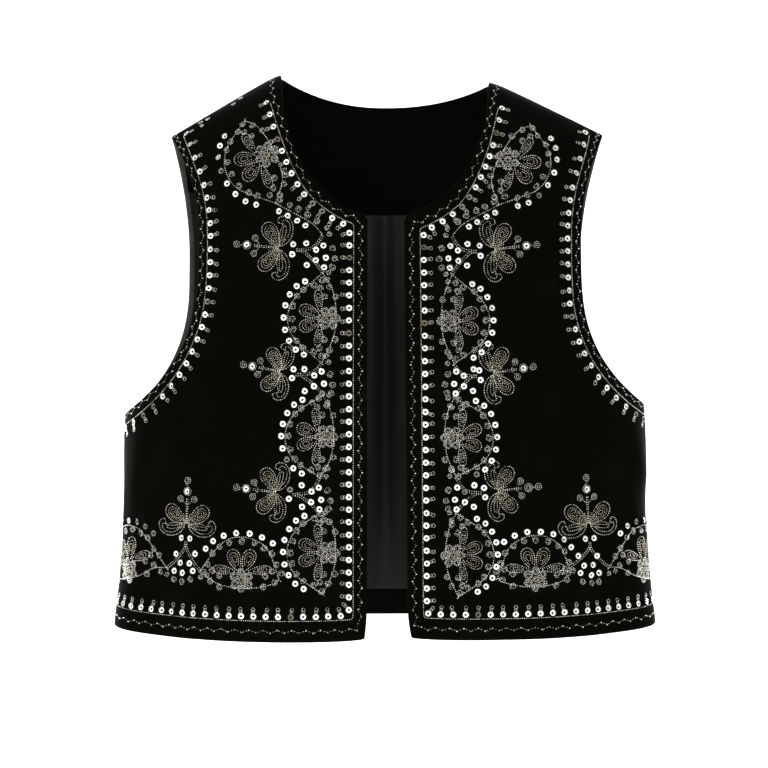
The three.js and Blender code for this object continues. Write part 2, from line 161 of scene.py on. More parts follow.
# %% [markdown]
# ## Folds and creases
# Velvet this stiff keeps a few long soft folds. Each is a bell-shaped ridge or trough along its own
# line on the body. The large ones are the frame's. The smaller ones, which the solids are too coarse
# for, are added here: drag lines under the arms, and ripples where the hem and the back hang free.

# %% Folds: from (degrees, height), to (degrees, height), width, height
FOLDS = [
    ((70, -262), (80, -306), 11, 2.2), ((62, -270), (70, -330), 14, -1.6),
    ((-66, -266), (-74, -322), 12, 1.8), ((-70, -318), (-63, -345), 9, 1.6),
    ((33, -285), (36, -445), 26, 2.4), ((57, -320), (60, -445), 24, -2.2),
    ((-30, -300), (-34, -445), 28, 2.2), ((-55, -310), (-58, -445), 22, -2.4),
    ((-50, -165), (-32, -205), 18, -1.8), ((52, -160), (34, -208), 18, -2.0),
    ((158, -215), (160, -445), 30, 3.0), ((-160, -235), (-157, -445), 28, 2.6),
    ((178, -250), (181, -445), 34, -2.8), ((128, -250), (131, -445), 26, 2.4),
    ((-127, -230), (-130, -445), 24, 2.8), ((143, -260), (146, -445), 24, -2.2),
    ((-143, -255), (-145, -445), 24, -2.4),
]
CREASES = [
    ((-58, -285), (-70, -350), 7, -0.9), ((-78, -290), (-84, -345), 6, 0.8),
    ((66, -300), (77, -352), 7, 0.9), ((80, -280), (86, -340), 6, -0.8),
    ((-20, -330), (-23, -440), 13, 0.9), ((-44, -360), (-46, -440), 10, 0.8),
    ((22, -340), (25, -440), 12, -0.9), ((46, -350), (48, -440), 11, 0.9),
    ((-46, -80), (-40, -150), 12, -0.8), ((47, -75), (42, -148), 12, 0.8),
    ((112, -265), (104, -330), 9, 1.3), ((-111, -258), (-103, -322), 9, 1.2),
    ((118, -300), (121, -440), 13, -1.2), ((-118, -290), (-120, -440), 12, -1.3),
    ((152, -330), (150, -440), 12, 1.1), ((-152, -320), (-151, -440), 13, -1.1),
    ((170, -350), (171, -440), 12, 1.2), ((-169, -340), (-168, -440), 12, 1.0),
    ((142, -60), (128, -130), 16, 1.4), ((-140, -66), (-127, -138), 15, 1.3),
    ((158, -20), (202, -24), 15, -1.2), ((163, -150), (150, -215), 18, -1.3),
    ((-161, -160), (-149, -222), 17, -1.2),
]
FOLD_WAVE = (0.07, 0.62)  # the stretch of a half wave that a fold's strength runs through


def fold_height(around, up):
    here = body_point(around, up)
    lift = np.zeros(here.shape[:-1])
    for start, end, width, height in FOLDS + CREASES:
        a = body_point(start[0] * DEG, float(start[1]))
        b = body_point(end[0] * DEG, float(end[1]))
        line = b - a
        t = np.clip((here - a) @ line / (line @ line), 0, 1)
        away = np.linalg.norm(here - (a + t[..., None] * line), axis=-1) / width
        lift += height * np.sin(math.pi * lerp(*FOLD_WAVE, t)) * np.exp(-away * away)
    return lift


def outward(around, up, step=0.002, rise=0.4):
    across = body_point(around + step, up) - body_point(around - step, up)
    upward = body_point(around, up + rise) - body_point(around, up - rise)
    return unit(np.cross(across, upward))


def cloth_point(around, up, out):
    """The cloth's point at a place, moved out (+) or in (-) from the middle of the velvet, in mm."""
    return body_point(around, up) + outward(around, up) * (fold_height(around, up) + out)[..., None]


print("folds from the frame:", len(FOLDS), " creases added:", len(CREASES))

# %% [markdown]
# ## The cut pieces as grids
# A real piece has four edges: hem, side with armhole, shoulder, and opening with neck. The grid
# between them is a blend of all four, so its rows follow the hem at the bottom and the shoulder seam
# at the top. Each edge is the frame's edge, cut finer.

# %% Sizes of the cut
BACK_HEM_Z = -427
FRONT_NECK = {"half_width": 84.5, "centre_z": 16, "depth": 111.5}
BACK_NECK = {"lowest_z": 4.5, "power": 2.15, "share": 0.47}
NECK_CORNER_Z = -98.5
NECK_CORNER = 3
HEM_DIP_POWER = 0.6
FLARE_HEIGHT = 26
SIDES = {
    "right": {
        "underarm": -255, "side_hem": -430, "hem": -435.5, "dip": 5, "gap_top": 14.1,
        "gap_hem": 14.6, "flare": 1.8, "hole": (151.5, -112, 2.2, 3.2),
    },
    "left": {
        "underarm": -247, "side_hem": -428.5, "hem": -434.5, "dip": 4.2, "gap_top": 15.4,
        "gap_hem": 18.4, "flare": 2.8, "hole": (160, -112, 2.2, 3.5),
    },
}
BACK_HOLE = (165.5, -122, 1.8, 3)  # half width, its height, upper power, lower power
SEAM_GAP = -0.25  # sewn pieces press together, so their walls run a little into each other
VELVET = 2
LINING = 1
LAYER_GAP = 0.5
NECK_EDGE_SHARE = 0.015
LINING_EDGE_SHARE = 0.0145
HEM_FACING_TOP_Z = -405.4
NECK_FACING_LOW_Z = {"centre": -85, "armhole": -66}
UNDERARM_BUNCHING = 1.5


# %% Places on the body
def side_line(up):
    """Places straight to the side of the body, where the side seam runs."""
    return np.stack([np.full_like(up, 90 * DEG), up], axis=-1)


def place_up(x, up, is_back):
    angle = np.arcsin(np.clip(x / level(up, "half_width"), -1, 1))
    return np.stack(np.broadcast_arrays(math.pi - angle if is_back else angle, up), axis=-1)


def place_at(x, z, is_back):
    """The place seen at x and z from the front or from behind."""
    bend_z = ridge_z(x) - SHOULDER_ROUND
    bend = np.arcsin(np.clip((z - bend_z) / SHOULDER_ROUND, 0, 1))
    return place_up(x, np.where(z <= bend_z, z, bend_z + SHOULDER_ROUND * bend), is_back)


def shoulder_seam(x, is_back):
    return place_up(x, ridge_up(x) + (-SEAM_BEHIND if is_back else SEAM_BEHIND), is_back)


def armhole_place(up, hole, underarm, is_back):
    half_width, narrow_z, upper_power, lower_power = hole
    z = height_at(up, SHOULDER_END_Z)
    upper = np.clip((z - narrow_z) / (SHOULDER_END_Z - narrow_z), 0, 1) ** upper_power
    lower = np.clip((z - narrow_z) / (underarm - narrow_z), 0, 1) ** lower_power
    x = np.where(
        z > narrow_z,
        lerp(half_width, SHOULDER_HALF_WIDTH, upper),
        lerp(half_width, level(float(underarm), "half_width"), lower),
    )
    over = np.asarray(up) >= ridge_up(SHOULDER_HALF_WIDTH)
    end = place_up(SHOULDER_HALF_WIDTH, up, is_back)
    return np.where(over[..., None], end, place_at(x, z, is_back))


def shifted(place, distance, step=0.002):
    """Places moved sideways along the cloth, towards the centre back (+) or the centre front (-)."""
    around, up = place[..., 0], place[..., 1]
    moved = np.linalg.norm(body_point(around + step, up) - body_point(around, up), axis=-1)
    return np.stack([around + distance * step / moved, up], axis=-1)


def filled_grid(low, high, start, end, across, rises):
    u = across[None, :, None]
    v = rises[:, None, None]
    corners = lerp(lerp(low[0], low[-1], u), lerp(high[0], high[-1], u), v)
    return lerp(low[None], high[None], v) + lerp(start[:, None], end[:, None], u) - corners


def mirror(places, about=0.0):
    return np.stack([2 * about - places[..., 0], places[..., 1]], axis=-1)


# %% A front's grid
FINER = 6  # rows of the fine grid to one of the frame's
FRONT_ROWS = {"underarm": 8, "corner": 8, "turn": 1, "neck": 8, "shoulder": 3}
FRONT_COLUMNS = 126


def gap_x(z, side):
    low = np.clip(1 - (z - side["hem"]) / FLARE_HEIGHT, 0, 1)
    along = np.clip((z - NECK_CORNER_Z) / (side["hem"] - NECK_CORNER_Z), 0, 1)
    return lerp(side["gap_top"], side["gap_hem"], along) + side["flare"] * low * low


def neck_place(share, side):
    """A place on the front neck edge, share 0 at the opening's corner and 1 at the shoulder."""
    angle = math.acos((side["gap_top"] + NECK_CORNER) / FRONT_NECK["half_width"]) * (1 - share)
    z = FRONT_NECK["centre_z"] - FRONT_NECK["depth"] * np.sin(angle)
    return place_at(FRONT_NECK["half_width"] * np.cos(angle), z, False)


def opening_place(z, side):
    return place_at(gap_x(z, side), z, False)


def front_inner_edge(side):
    rows = {part: shares(count * FINER) for part, count in FRONT_ROWS.items()}
    seam_up = shoulder_seam(NECK_HALF_WIDTH, False)[1]
    neck = neck_place(rows["neck"], side)
    turn = lerp(opening_place(NECK_CORNER_Z, side), neck[0], rows["turn"][:, None])
    over_x = lerp(FRONT_NECK["half_width"], NECK_HALF_WIDTH, rows["shoulder"])
    over = place_up(over_x, lerp(neck[-1][1], seam_up, rows["shoulder"]), False)
    return np.concatenate([
        opening_place(lerp(side["hem"], side["underarm"], rows["underarm"]), side)[:-1],
        opening_place(lerp(side["underarm"], NECK_CORNER_Z, rows["corner"]), side)[:-1],
        turn[:-1], neck[:-1], over,
    ])


def front_outer_edge(side):
    low = lerp(side["side_hem"], side["underarm"], shares(FRONT_ROWS["underarm"] * FINER))
    seam = shifted(side_line(low), -SEAM_GAP / 2)
    narrow_z = side["hole"][1]
    t = shares(FRONT_ROWS["corner"] * FINER)[1:] ** UNDERARM_BUNCHING
    under = armhole_place(lerp(side["underarm"], narrow_z, t), side["hole"], side["underarm"], False)
    rows = (FRONT_ROWS["turn"] + FRONT_ROWS["neck"] + FRONT_ROWS["shoulder"]) * FINER
    top_up = shoulder_seam(SHOULDER_HALF_WIDTH, False)[1]
    upper = lerp(narrow_z, top_up, shares(rows)[1:])
    return np.concatenate([seam, under, armhole_place(upper, side["hole"], side["underarm"], False)])


def front_grid(side):
    start = front_inner_edge(side)
    end = front_outer_edge(side)
    across = shares(FRONT_COLUMNS)
    dip = side["dip"] * np.sin(math.pi * across**HEM_DIP_POWER)
    hem = np.stack([lerp(start[0, 0], end[0, 0], across), lerp(start[0, 1], end[0, 1], across) - dip], -1)
    seam_x = level(start[-1, 1], "half_width") * np.sin(lerp(start[-1, 0], end[-1, 0], across))
    grid = filled_grid(hem, shoulder_seam(seam_x, False), start, end, across, shares(len(start) - 1))
    grid[-1, :, 1] -= SEAM_GAP / 2
    return grid


grids = {"front_left": front_grid(SIDES["left"])}
grids["front_right"] = mirror(front_grid(SIDES["right"]))[:, ::-1]
print("fine grid of a front, rows and columns:", grids["front_left"].shape[:2])

# %% [markdown]
# ## The back and what lines it
# The back is one piece from side seam to side seam. Its inside shows through the neck, so its
# lining, its neck facing and the facing turned up at the hem are pieces too. All four come from the
# same bands of one grid, so they lie flat on each other.

# %% The back's grid, band by band
BACK_BANDS = ("hem_facing", "side", "armhole", "neck_facing")
BAND_ROWS = {"hem_facing": 8, "side": 40, "armhole": 50, "neck_facing": 44}
BACK_COLUMNS = 150


def back_edge(side, rises):
    """One side edge of the back as four bands of places."""
    facing_up = side["side_hem"] + HEM_FACING_TOP_Z - BACK_HEM_Z
    seam_up = shoulder_seam(SHOULDER_HALF_WIDTH, True)[1]
    under, facing = side["underarm"], NECK_FACING_LOW_Z["armhole"]
    seam = (lerp(side["side_hem"], facing_up, rises[0]), lerp(facing_up, under, rises[1]))
    hole = (lerp(under, facing, rises[2] ** UNDERARM_BUNCHING), lerp(facing, seam_up, rises[3]))
    return [shifted(side_line(up), SEAM_GAP / 2) for up in seam] + [
        armhole_place(up, BACK_HOLE, under, True) for up in hole
    ]


def across_back(start, end, across, rise):
    bow = rise * (1 - (2 * across - 1) ** 2)
    return lerp(start[None], end[None], across[:, None]) + np.stack([0 * bow, bow], axis=-1)


def back_top_edge(across):
    off = np.abs(2 * across - 1)
    along = np.clip((off - BACK_NECK["share"]) / (1 - BACK_NECK["share"]), 0, 1)
    shoulder = shoulder_seam(lerp(NECK_HALF_WIDTH, SHOULDER_HALF_WIDTH, along), True)
    x = NECK_HALF_WIDTH * np.clip(off / BACK_NECK["share"], 0, 1)
    drop = (x / NECK_HALF_WIDTH) ** BACK_NECK["power"]
    neck = place_at(x, lerp(BACK_NECK["lowest_z"], NECK_POINT_Z, drop), True)
    neck[:, 1] = np.minimum(neck[:, 1], shoulder_seam(NECK_HALF_WIDTH, True)[1])
    top = np.where((off <= BACK_NECK["share"])[:, None], neck, shoulder)
    top[:, 1] -= SEAM_GAP / 2
    return np.where((across < 0.5)[:, None], top, mirror(top, math.pi))


def back_bands(across, rises):
    """The back's four bands of grid, for any shares across and any rises up each band."""
    ends = [shares(1)] * 4
    start = back_edge(SIDES["left"], rises)
    end = [mirror(band, math.pi) for band in back_edge(SIDES["right"], rises)]
    left = back_edge(SIDES["left"], ends)
    right = [mirror(band, math.pi) for band in back_edge(SIDES["right"], ends)]
    hem_rise = BACK_HEM_Z - (SIDES["left"]["side_hem"] + SIDES["right"]["side_hem"]) / 2
    facing_rise = NECK_FACING_LOW_Z["centre"] - NECK_FACING_LOW_Z["armhole"]
    starts = ((0, 0, hem_rise), (1, 0, hem_rise), (1, 1, 0), (3, 0, facing_rise))  # band, end, rise
    lines = [across_back(left[i][k], right[i][k], across, rise) for i, k, rise in starts]
    lines.append(back_top_edge(across))
    bands = []
    for i, rise in enumerate(rises):
        u, v = across[None, :, None], rise[:, None, None]
        low, high = (lerp(left[i][k], right[i][k], u) for k in (0, 1))
        sides = lerp(start[i][:, None], end[i][:, None], u)
        bands.append(lerp(lines[i][None], lines[i + 1][None], v) + sides - lerp(low, high, v))
    return bands


even_rises = [shares(BAND_ROWS[band]) for band in BACK_BANDS]
bands = back_bands(shares(BACK_COLUMNS), even_rises)
grids["back"] = np.concatenate([band[1 if i else 0:] for i, band in enumerate(bands)])
lined = lerp(LINING_EDGE_SHARE, 1 - LINING_EDGE_SHARE, shares(BACK_COLUMNS))
inner_rises = list(even_rises)
inner_rises[3] = even_rises[3] * (1 - NECK_EDGE_SHARE)
inner = back_bands(lined, inner_rises)
grids["back_hem_facing"] = inner[0]
grids["back_lining"] = np.concatenate([inner[1], inner[2][1:]])
grids["back_neck_facing"] = inner[3]
for name, grid in grids.items():
    print(name, "rows and columns:", grid.shape[:2])

# %% [markdown]
# ## From grid to cloth wall
# A sheet of cloth needs two faces and a rounded rim, or its edges look like cut paper. Each face is
# the grid, pushed out or in by half the thickness along the body's own outward direction. Close to
# the edges the half thickness follows a quarter circle, as where velvet is turned over and pressed.

# %% Rim steps and edge distance
RIM_STEPS = (0.1, 0.3)  # shares of the first grid step, where extra rows and columns are put
EDGE_KEEP = 0.3  # share of the thickness left at the very edge
VELVET_ROUND = 1.6  # mm from its edge over which the velvet grows to its full thickness
LINING_ROUND = 0.8


def with_rim_steps(grid):
    for axis in (0, 1):
        g = np.moveaxis(grid, axis, 0)
        near = [lerp(g[0], g[1], t) for t in RIM_STEPS]
        far = [lerp(g[-1], g[-2], t) for t in reversed(RIM_STEPS)]
        g = np.concatenate([g[:1], near, g[1:-1], far, g[-1:]])
        grid = np.moveaxis(g, 0, axis)
    return grid


def edge_distance(points):
    """How far each point of a grid is from the nearest edge, along its row or column."""
    nearest = np.full(points.shape[:2], np.inf)
    for axis in (0, 1):
        steps = np.linalg.norm(np.diff(points, axis=axis), axis=-1)
        start = np.zeros_like(np.take(steps, [0], axis))
        run = np.concatenate([start, np.cumsum(steps, axis=axis)], axis=axis)
        nearest = np.minimum(nearest, np.minimum(run, np.take(run, [-1], axis) - run))
    return nearest


# %% Make one wall of cloth
def add_object(name, data):
    thing = bpy.data.objects.new(name, data)
    bpy.context.scene.collection.objects.link(thing)
    return thing


def add_mesh(name, points, faces, materials, face_materials=None):
    """A smooth-shaded mesh object from points in mm."""
    mesh = bpy.data.meshes.new(name)
    mesh.from_pydata((np.asarray(points) * MM).tolist(), [], np.asarray(faces).tolist())
    for material in materials:
        mesh.materials.append(material)
    if face_materials is not None:
        mesh.polygons.foreach_set("material_index", np.asarray(face_materials, dtype=np.int32))
    mesh.shade_smooth()
    return add_object(name, mesh)


def cloth_wall(name, grid, outer, inner, materials, round_by=VELVET_ROUND, relief=None):
    """A closed wall over a grid. Its outer face and rim take the first material."""
    grid = with_rim_steps(grid)
    around, up = grid[..., 0], grid[..., 1]
    base = body_point(around, up)
    share = np.clip(edge_distance(base) / round_by, 0, 1)
    half = (outer - inner) / 2 * lerp(EDGE_KEEP, 1, np.sqrt(1 - (1 - share) ** 2))
    lift = fold_height(around, up) + (outer + inner) / 2
    if relief is not None:
        lift = lift + relief(around, up)
    normal = outward(around, up)
    points = np.concatenate([
        (base + normal * (lift + way * half)[..., None]).reshape(-1, 3) for way in (1, -1)
    ])
    rows, columns = around.shape
    ids = np.arange(rows * columns).reshape(rows, columns)
    under = ids + rows * columns
    face = np.stack([ids[:-1, :-1], ids[:-1, 1:], ids[1:, 1:], ids[1:, :-1]], -1).reshape(-1, 4)
    other = np.stack([under[:-1, :-1], under[1:, :-1], under[1:, 1:], under[:-1, 1:]], -1)
    loop = np.concatenate([ids[0, :-1], ids[:-1, -1], ids[-1, :0:-1], ids[:0:-1, 0]])
    after = np.roll(loop, -1)
    rim = np.stack([loop, loop + rows * columns, after + rows * columns, after], -1)
    faces = np.concatenate([face, other.reshape(-1, 4), rim])
    kinds = np.concatenate([
        np.zeros(len(face)), np.full(len(face), len(materials) - 1), np.zeros(len(rim))
    ])
    return add_mesh(name, points, faces, materials, kinds)


# %% [markdown]
# ## Materials of the cloth
# A material starts from what the real one is. One function turns sRGB hex colours to linear, and one
# adds a node with its settings and links, so each material below reads as a short recipe.

# %% Helpers for materials
def linear(colour):
    """An sRGB hex colour as linear red, green, blue and alpha."""
    parts = [int(colour[i:i + 2], 16) / 255 for i in (1, 3, 5)]
    return [p / 12.92 if p <= 0.04045 else ((p + 0.055) / 1.055) ** 2.4 for p in parts] + [1.0]


def add_node(material, kind, settings=None, inputs=None):
    """Adds a node. settings are its properties; inputs are values, or (node, output name) links."""
    tree = material.node_tree
    node = tree.nodes.new(kind)
    for key, value in (settings or {}).items():
        setattr(node, key, value)
    for key, value in (inputs or {}).items():
        if isinstance(value, tuple) and isinstance(value[0], bpy.types.Node):
            tree.links.new(value[0].outputs[value[1]], node.inputs[key])
        else:
            node.inputs[key].default_value = value
    return node


def new_material(name):
    """An empty material, and the object's own coordinates in metres."""
    material = bpy.data.materials.new(name)
    material.use_nodes = True
    material.node_tree.nodes.clear()
    return material, add_node(material, "ShaderNodeTexCoord")


def finish_material(material, inputs):
    """Ends a material with its shader, which the inputs set, and an output."""
    shader = add_node(material, "ShaderNodeBsdfPrincipled", inputs=inputs)
    add_node(material, "ShaderNodeOutputMaterial", inputs={"Surface": (shader, "BSDF")})
    material.diffuse_color = shader.inputs["Base Color"].default_value
    return material


def add_noise(material, place, size_mm, detail=2.0, stretch=(1, 1, 1)):
    """Noise with features of about size_mm, longer along an axis where stretch is above 1."""
    scale = [1 / (size_mm * MM * s) for s in stretch]
    mapping = add_node(
        material, "ShaderNodeMapping", inputs={"Vector": (place, "Object"), "Scale": scale}
    )
    return add_node(
        material, "ShaderNodeTexNoise", inputs={"Vector": (mapping, "Vector"), "Scale": 1.0, "Detail": detail}
    )


def add_bump(material, height, strength, depth_mm):
    return add_node(material, "ShaderNodeBump", inputs={
        "Strength": strength, "Distance": depth_mm * MM, "Height": height,
    })


def add_range(material, source, low, high):
    """The middle of a noise's values, from 0.3 to 0.7, stretched from low to high."""
    return add_node(material, "ShaderNodeMapRange", inputs={
        "Value": source, "From Min": 0.3, "From Max": 0.7, "To Min": low, "To Max": high,
    })


def add_ramp(material, source, stops):
    """Colours by the source's value: stops are (position, sRGB hex)."""
    ramp = add_node(material, "ShaderNodeValToRGB", inputs={"Fac": source})
    elements = ramp.color_ramp.elements
    while len(elements) < len(stops):
        elements.new(0.5)
    for element, (position, colour) in zip(elements, stops):
        element.position = position
        element.color = linear(colour)
    return ramp


# %% [markdown]
# ### Cotton velvet
# Velvet is a ground cloth with a dense upright pile. Light falls in between the fibres and is lost,
# so black velvet is darker than any black paint and has almost no mirror gloss; only fibres seen
# from the side catch a rim of light, which is what the sheen is for. The pile's fibres are far too
# fine to show, so the nap is drawn as tufts of 0.9 mm, with larger strokes where a hand went over it.

# %% Black cotton velvet, cut pile
LINT_MM = 20  # between the bits of lint that cling to it; only one in ten is pale enough to see
MIXED_COLOUR = 2  # the mix node's output for colours, one of several that share a name


def cotton_velvet():
    material, place = new_material("black_cotton_velvet")
    strokes = add_noise(material, place, 26, 3, (1, 1, 1.8))
    tufts = add_noise(material, place, 0.9, 2)
    lint = add_node(
        material, "ShaderNodeTexVoronoi", inputs={"Vector": (place, "Object"), "Scale": 1 / (LINT_MM * MM)}
    )
    bit = add_node(material, "ShaderNodeMath", {"operation": "LESS_THAN"}, {0: (lint, "Distance"), 1: 0.028})
    lint_tone = add_node(material, "ShaderNodeSeparateColor", inputs={"Color": (lint, "Color")})
    colour = add_ramp(material, (strokes, "Fac"), [(0.3, "#040402"), (0.6, "#050503"), (0.8, "#090906")])
    specks = add_ramp(
        material, (lint_tone, "Red"), [(0.0, "#000000"), (0.9, "#000000"), (0.98, "#5a5a54")]
    )
    linted = add_node(
        material, "ShaderNodeMix", {"data_type": "RGBA", "blend_type": "ADD"},
        {"Factor": (bit, "Value"), "A": (colour, "Color"), "B": (specks, "Color")},
    )
    return finish_material(material, {
        "Base Color": (linted, MIXED_COLOUR), "Roughness": 0.92, "Specular IOR Level": 0.02,
        "Sheen Weight": 0.1, "Sheen Roughness": 0.25, "Sheen Tint": linear("#cfcfc4"),
        "Normal": (add_bump(material, (tufts, "Fac"), 0.35, 0.4), "Normal"),
    })


velvet = cotton_velvet()
print("velvet:", velvet.name)

# %% [markdown]
# ### Lining satin
# The lining is a brown-grey acetate satin. Its long floats run down the cloth and turn it glossy in
# soft upright streaks where it ripples, so the streaks are noise that is stretched along its height.
# The streaks lower the roughness, and they also make the colour paler, which is painted sheen.

# %% Brown-grey acetate satin
def acetate_satin():
    material, place = new_material("brown_grey_acetate_satin")
    gloss_streaks_and_painted_sheen = add_noise(material, place, 9, 3, (1, 1, 26))
    threads = add_noise(material, place, 0.5, 1, (1, 1, 30))
    # painted sheen: the colour is paler in the glossy streaks, where light would catch the satin
    colour = add_ramp(material, (gloss_streaks_and_painted_sheen, "Fac"), [(0.3, "#151310"), (0.55, "#1b1916"), (0.75, "#26231f")])
    return finish_material(material, {
        "Base Color": (colour, "Color"), "Specular IOR Level": 0.12,
        "Roughness": (add_range(material, (gloss_streaks_and_painted_sheen, "Fac"), 0.5, 0.36), "Result"),
        "Sheen Weight": 0.02, "Sheen Roughness": 0.4,
        "Normal": (add_bump(material, (threads, "Fac"), 0.2, 0.15), "Normal"),
    })


satin = acetate_satin()
print("lining:", satin.name)

# %% [markdown]
# ### Facing cloth
# The facings are a plain-woven black cotton, duller than the satin. Its weave is 0.5 mm from thread
# to thread, drawn at 0.8 mm so that it shows as a faint grain.

# %% Black plain-woven cotton, and the velvet's ground: a paler cloth, made paler still by painted sheen
WAVES_PER_UNIT = 20  # radians that the wave texture turns through in one unit at scale 1


def plain_cotton(name, colours, weave_mm=0.8):
    material, place = new_material(name)
    warp, weft = (
        add_node(material, "ShaderNodeTexWave", {"bands_direction": axis}, {
            "Vector": (place, "Object"), "Scale": 2 * math.pi / (WAVES_PER_UNIT * weave_mm * MM),
            "Distortion": 0.6,
        })
        for axis in ("X", "Z")
    )
    weave = add_node(
        material, "ShaderNodeMath", {"operation": "MULTIPLY"}, {0: (warp, "Fac"), 1: (weft, "Fac")}
    )
    cloudy = add_noise(material, place, 14, 3)
    colour = add_ramp(material, (cloudy, "Fac"), [(0.3, colours[0]), (0.7, colours[1])])
    return finish_material(material, {
        "Base Color": (colour, "Color"), "Roughness": 0.8, "Specular IOR Level": 0.03,
        "Normal": (add_bump(material, (weave, "Value"), 0.3, 0.15), "Normal"),
    })


facing_cloth = plain_cotton("black_plain_cotton", ("#020201", "#050503"))
# The velvet's ground is a paler cloth, and its colour is raised further as painted sheen, standing in for
# light that grazes the inside of the back.
paler_ground_with_painted_sheen = plain_cotton("velvet_ground_cloth", ("#40403a", "#54544d"))
print("facings:", facing_cloth.name, " velvet's wrong side:", paler_ground_with_painted_sheen.name)

# %% [markdown]
# ## Sew the garment
# Each wall now stands for its solid. The lining keeps the ease pleat down its centre, a soft ridge
# that opens out above the hem, and ripples a little more than the stiff velvet does.

# %% Velvet shells, lining and facings
PLEAT = {"depth": 2.5, "half_width": 5, "open_z": -385, "full_z": -325}
lining_outer = -VELVET / 2 - LAYER_GAP
lining_inner = lining_outer - LINING


def pleat_relief(around, up):
    across = (around - math.pi) * level(up, "half_width")
    held = np.clip((up - PLEAT["open_z"]) / (PLEAT["full_z"] - PLEAT["open_z"]), 0, 1)
    return -PLEAT["depth"] * held * np.exp(-((across / PLEAT["half_width"]) ** 2))


pieces = {}
wrong_sides = {"front_right": facing_cloth, "front_left": facing_cloth, "back": paler_ground_with_painted_sheen}
for name, ground in wrong_sides.items():
    pieces[name] = cloth_wall(f"{name}_velvet", grids[name], VELVET / 2, -VELVET / 2, [velvet, ground])
pieces["back_lining"] = cloth_wall(
    "back_lining_satin", grids["back_lining"], lining_outer, lining_inner, [satin], LINING_ROUND,
    pleat_relief,
)
for face in pieces["back"].data.polygons:  # the neck edge is turned in, so the pile shows inside it
    if abs(face.center.x) < NECK_HALF_WIDTH * MM:
        face.material_index = 0
for name in ("back_neck_facing", "back_hem_facing"):
    pieces[name] = cloth_wall(
        f"{name}_cloth", grids[name], lining_outer, lining_inner, [facing_cloth], LINING_ROUND
    )
for name, piece in pieces.items():
    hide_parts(name)
    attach(piece, "root")
    print(name, "faces:", len(piece.data.polygons))

# %% [markdown]
# ## Flat coordinates for the needlework
# Embroidery is worked on flat cloth, before the pieces are sewn together, so the design is drawn
# flat too: s is the distance around the body from the centre front and h the length up the cloth,
# both in mm. A table of arc lengths turns s back into an angle, which lays the flat design on the
# curved cloth without stretching it. Both fronts are drawn as the wearer's left, and the design of
# the right one is turned over when its meshes are made.

# %% Arc-length table
TABLE_STEP = {"up": 5.0, "s": 1.0, "around": 0.5 * DEG}
TABLE_END = {"up": 141, "around": 112 * DEG}  # past the shoulder's top and past the side seam
TABLE_UP = np.arange(LEVEL_Z[0], TABLE_END["up"], TABLE_STEP["up"])
TABLE_AROUND = np.arange(0, TABLE_END["around"], TABLE_STEP["around"])
level_lines = body_point(-TABLE_AROUND[None, :], TABLE_UP[:, None])
steps = np.linalg.norm(np.diff(level_lines, axis=1), axis=-1)
TABLE_S = np.concatenate([np.zeros((len(TABLE_UP), 1)), np.cumsum(steps, axis=1)], axis=1)
EVEN_S = np.arange(0, TABLE_S[:, -1].max(), TABLE_STEP["s"])
AROUND_AT = np.array([np.interp(EVEN_S, row, TABLE_AROUND) for row in TABLE_S])


def between(table, row, column):
    """The table's value between its rows and columns."""
    row = np.clip(row, 0, table.shape[0] - 1.001)
    column = np.clip(column, 0, table.shape[1] - 1.001)
    i, j = row.astype(int), column.astype(int)
    a, b = row - i, column - j
    low = lerp(table[i, j], table[i, j + 1], b)
    return lerp(low, lerp(table[i + 1, j], table[i + 1, j + 1], b), a)


def around_at(s, h):
    return between(AROUND_AT, (h - TABLE_UP[0]) / TABLE_STEP["up"], s / TABLE_STEP["s"])


def flat(places):
    """Places on the body as flat points (s, h)."""
    around, up = places[..., 0], places[..., 1]
    row = (up - TABLE_UP[0]) / TABLE_STEP["up"]
    return np.stack([between(TABLE_S, row, around / TABLE_STEP["around"]), up], axis=-1)


def seen(x, z):
    """The flat point that is seen x across and z up from the front."""
    return flat(place_at(abs(x), z, False))


side_seam = flat(side_line(TABLE_UP))
hem_row = round((SIDES["left"]["side_hem"] - TABLE_UP[0]) / TABLE_STEP["up"])
print("side seam at the hem, mm from the centre front:", round(float(side_seam[hem_row, 0]), 1))

# %% [markdown]
# ## Lines to sew along
# A row of stitches needs an evenly spaced line. Curves are drawn as a cubic spline of the kind that
# passes through its points, and are then cut to an even pitch. A border keeps its own distance from
# every edge, and is rounded a little where it turns a corner.

# %% Helpers for lines
def smooth_path(points, steps=10):
    """A smooth line through the points."""
    p = np.asarray(points, dtype=float)
    p = np.concatenate([[2 * p[0] - p[1]], p, [2 * p[-1] - p[-2]]])
    t = (np.arange(steps) / steps)[:, None]
    parts = []
    for a, b, c, d in zip(p[:-3], p[1:-2], p[2:-1], p[3:]):
        parts.append(0.5 * (
            2 * b + (c - a) * t + (2 * a - 5 * b + 4 * c - d) * t**2 + (3 * b - a - 3 * c + d) * t**3
        ))
    return np.concatenate(parts + [p[-2:-1]])


def cut_evenly(path, pitch, least=0):
    """The path cut into even steps, near to the pitch, which may be one length or one for each part."""
    steps = np.linalg.norm(np.diff(path, axis=0), axis=1) / pitch
    run = np.concatenate([[0], np.cumsum(steps)])
    at = np.linspace(0, run[-1], max(least, round(run[-1])) + 1)
    return np.stack([np.interp(at, run, path[:, k]) for k in (0, 1)], axis=-1)


def resample(path, pitch):
    """Points along a path at an even pitch that end on the path's end."""
    return cut_evenly(path, pitch, 1)


def directions(path):
    return unit(np.gradient(path, axis=0))


def inward(path):
    """Unit directions to the right of a path, which is the inner side of the cloth here."""
    ahead = directions(path)
    return np.stack([ahead[:, 1], -ahead[:, 0]], axis=-1)


def distance_to(points, line):
    return np.linalg.norm(points[:, None] - line[None], axis=-1).min(axis=1)


CORNER_ROUND = 3.5  # mm along a border that each corner is softened over
LINE_PITCH = 0.5
NEAR_ENOUGH = 0.25  # mm that a border's line may come too close to an edge


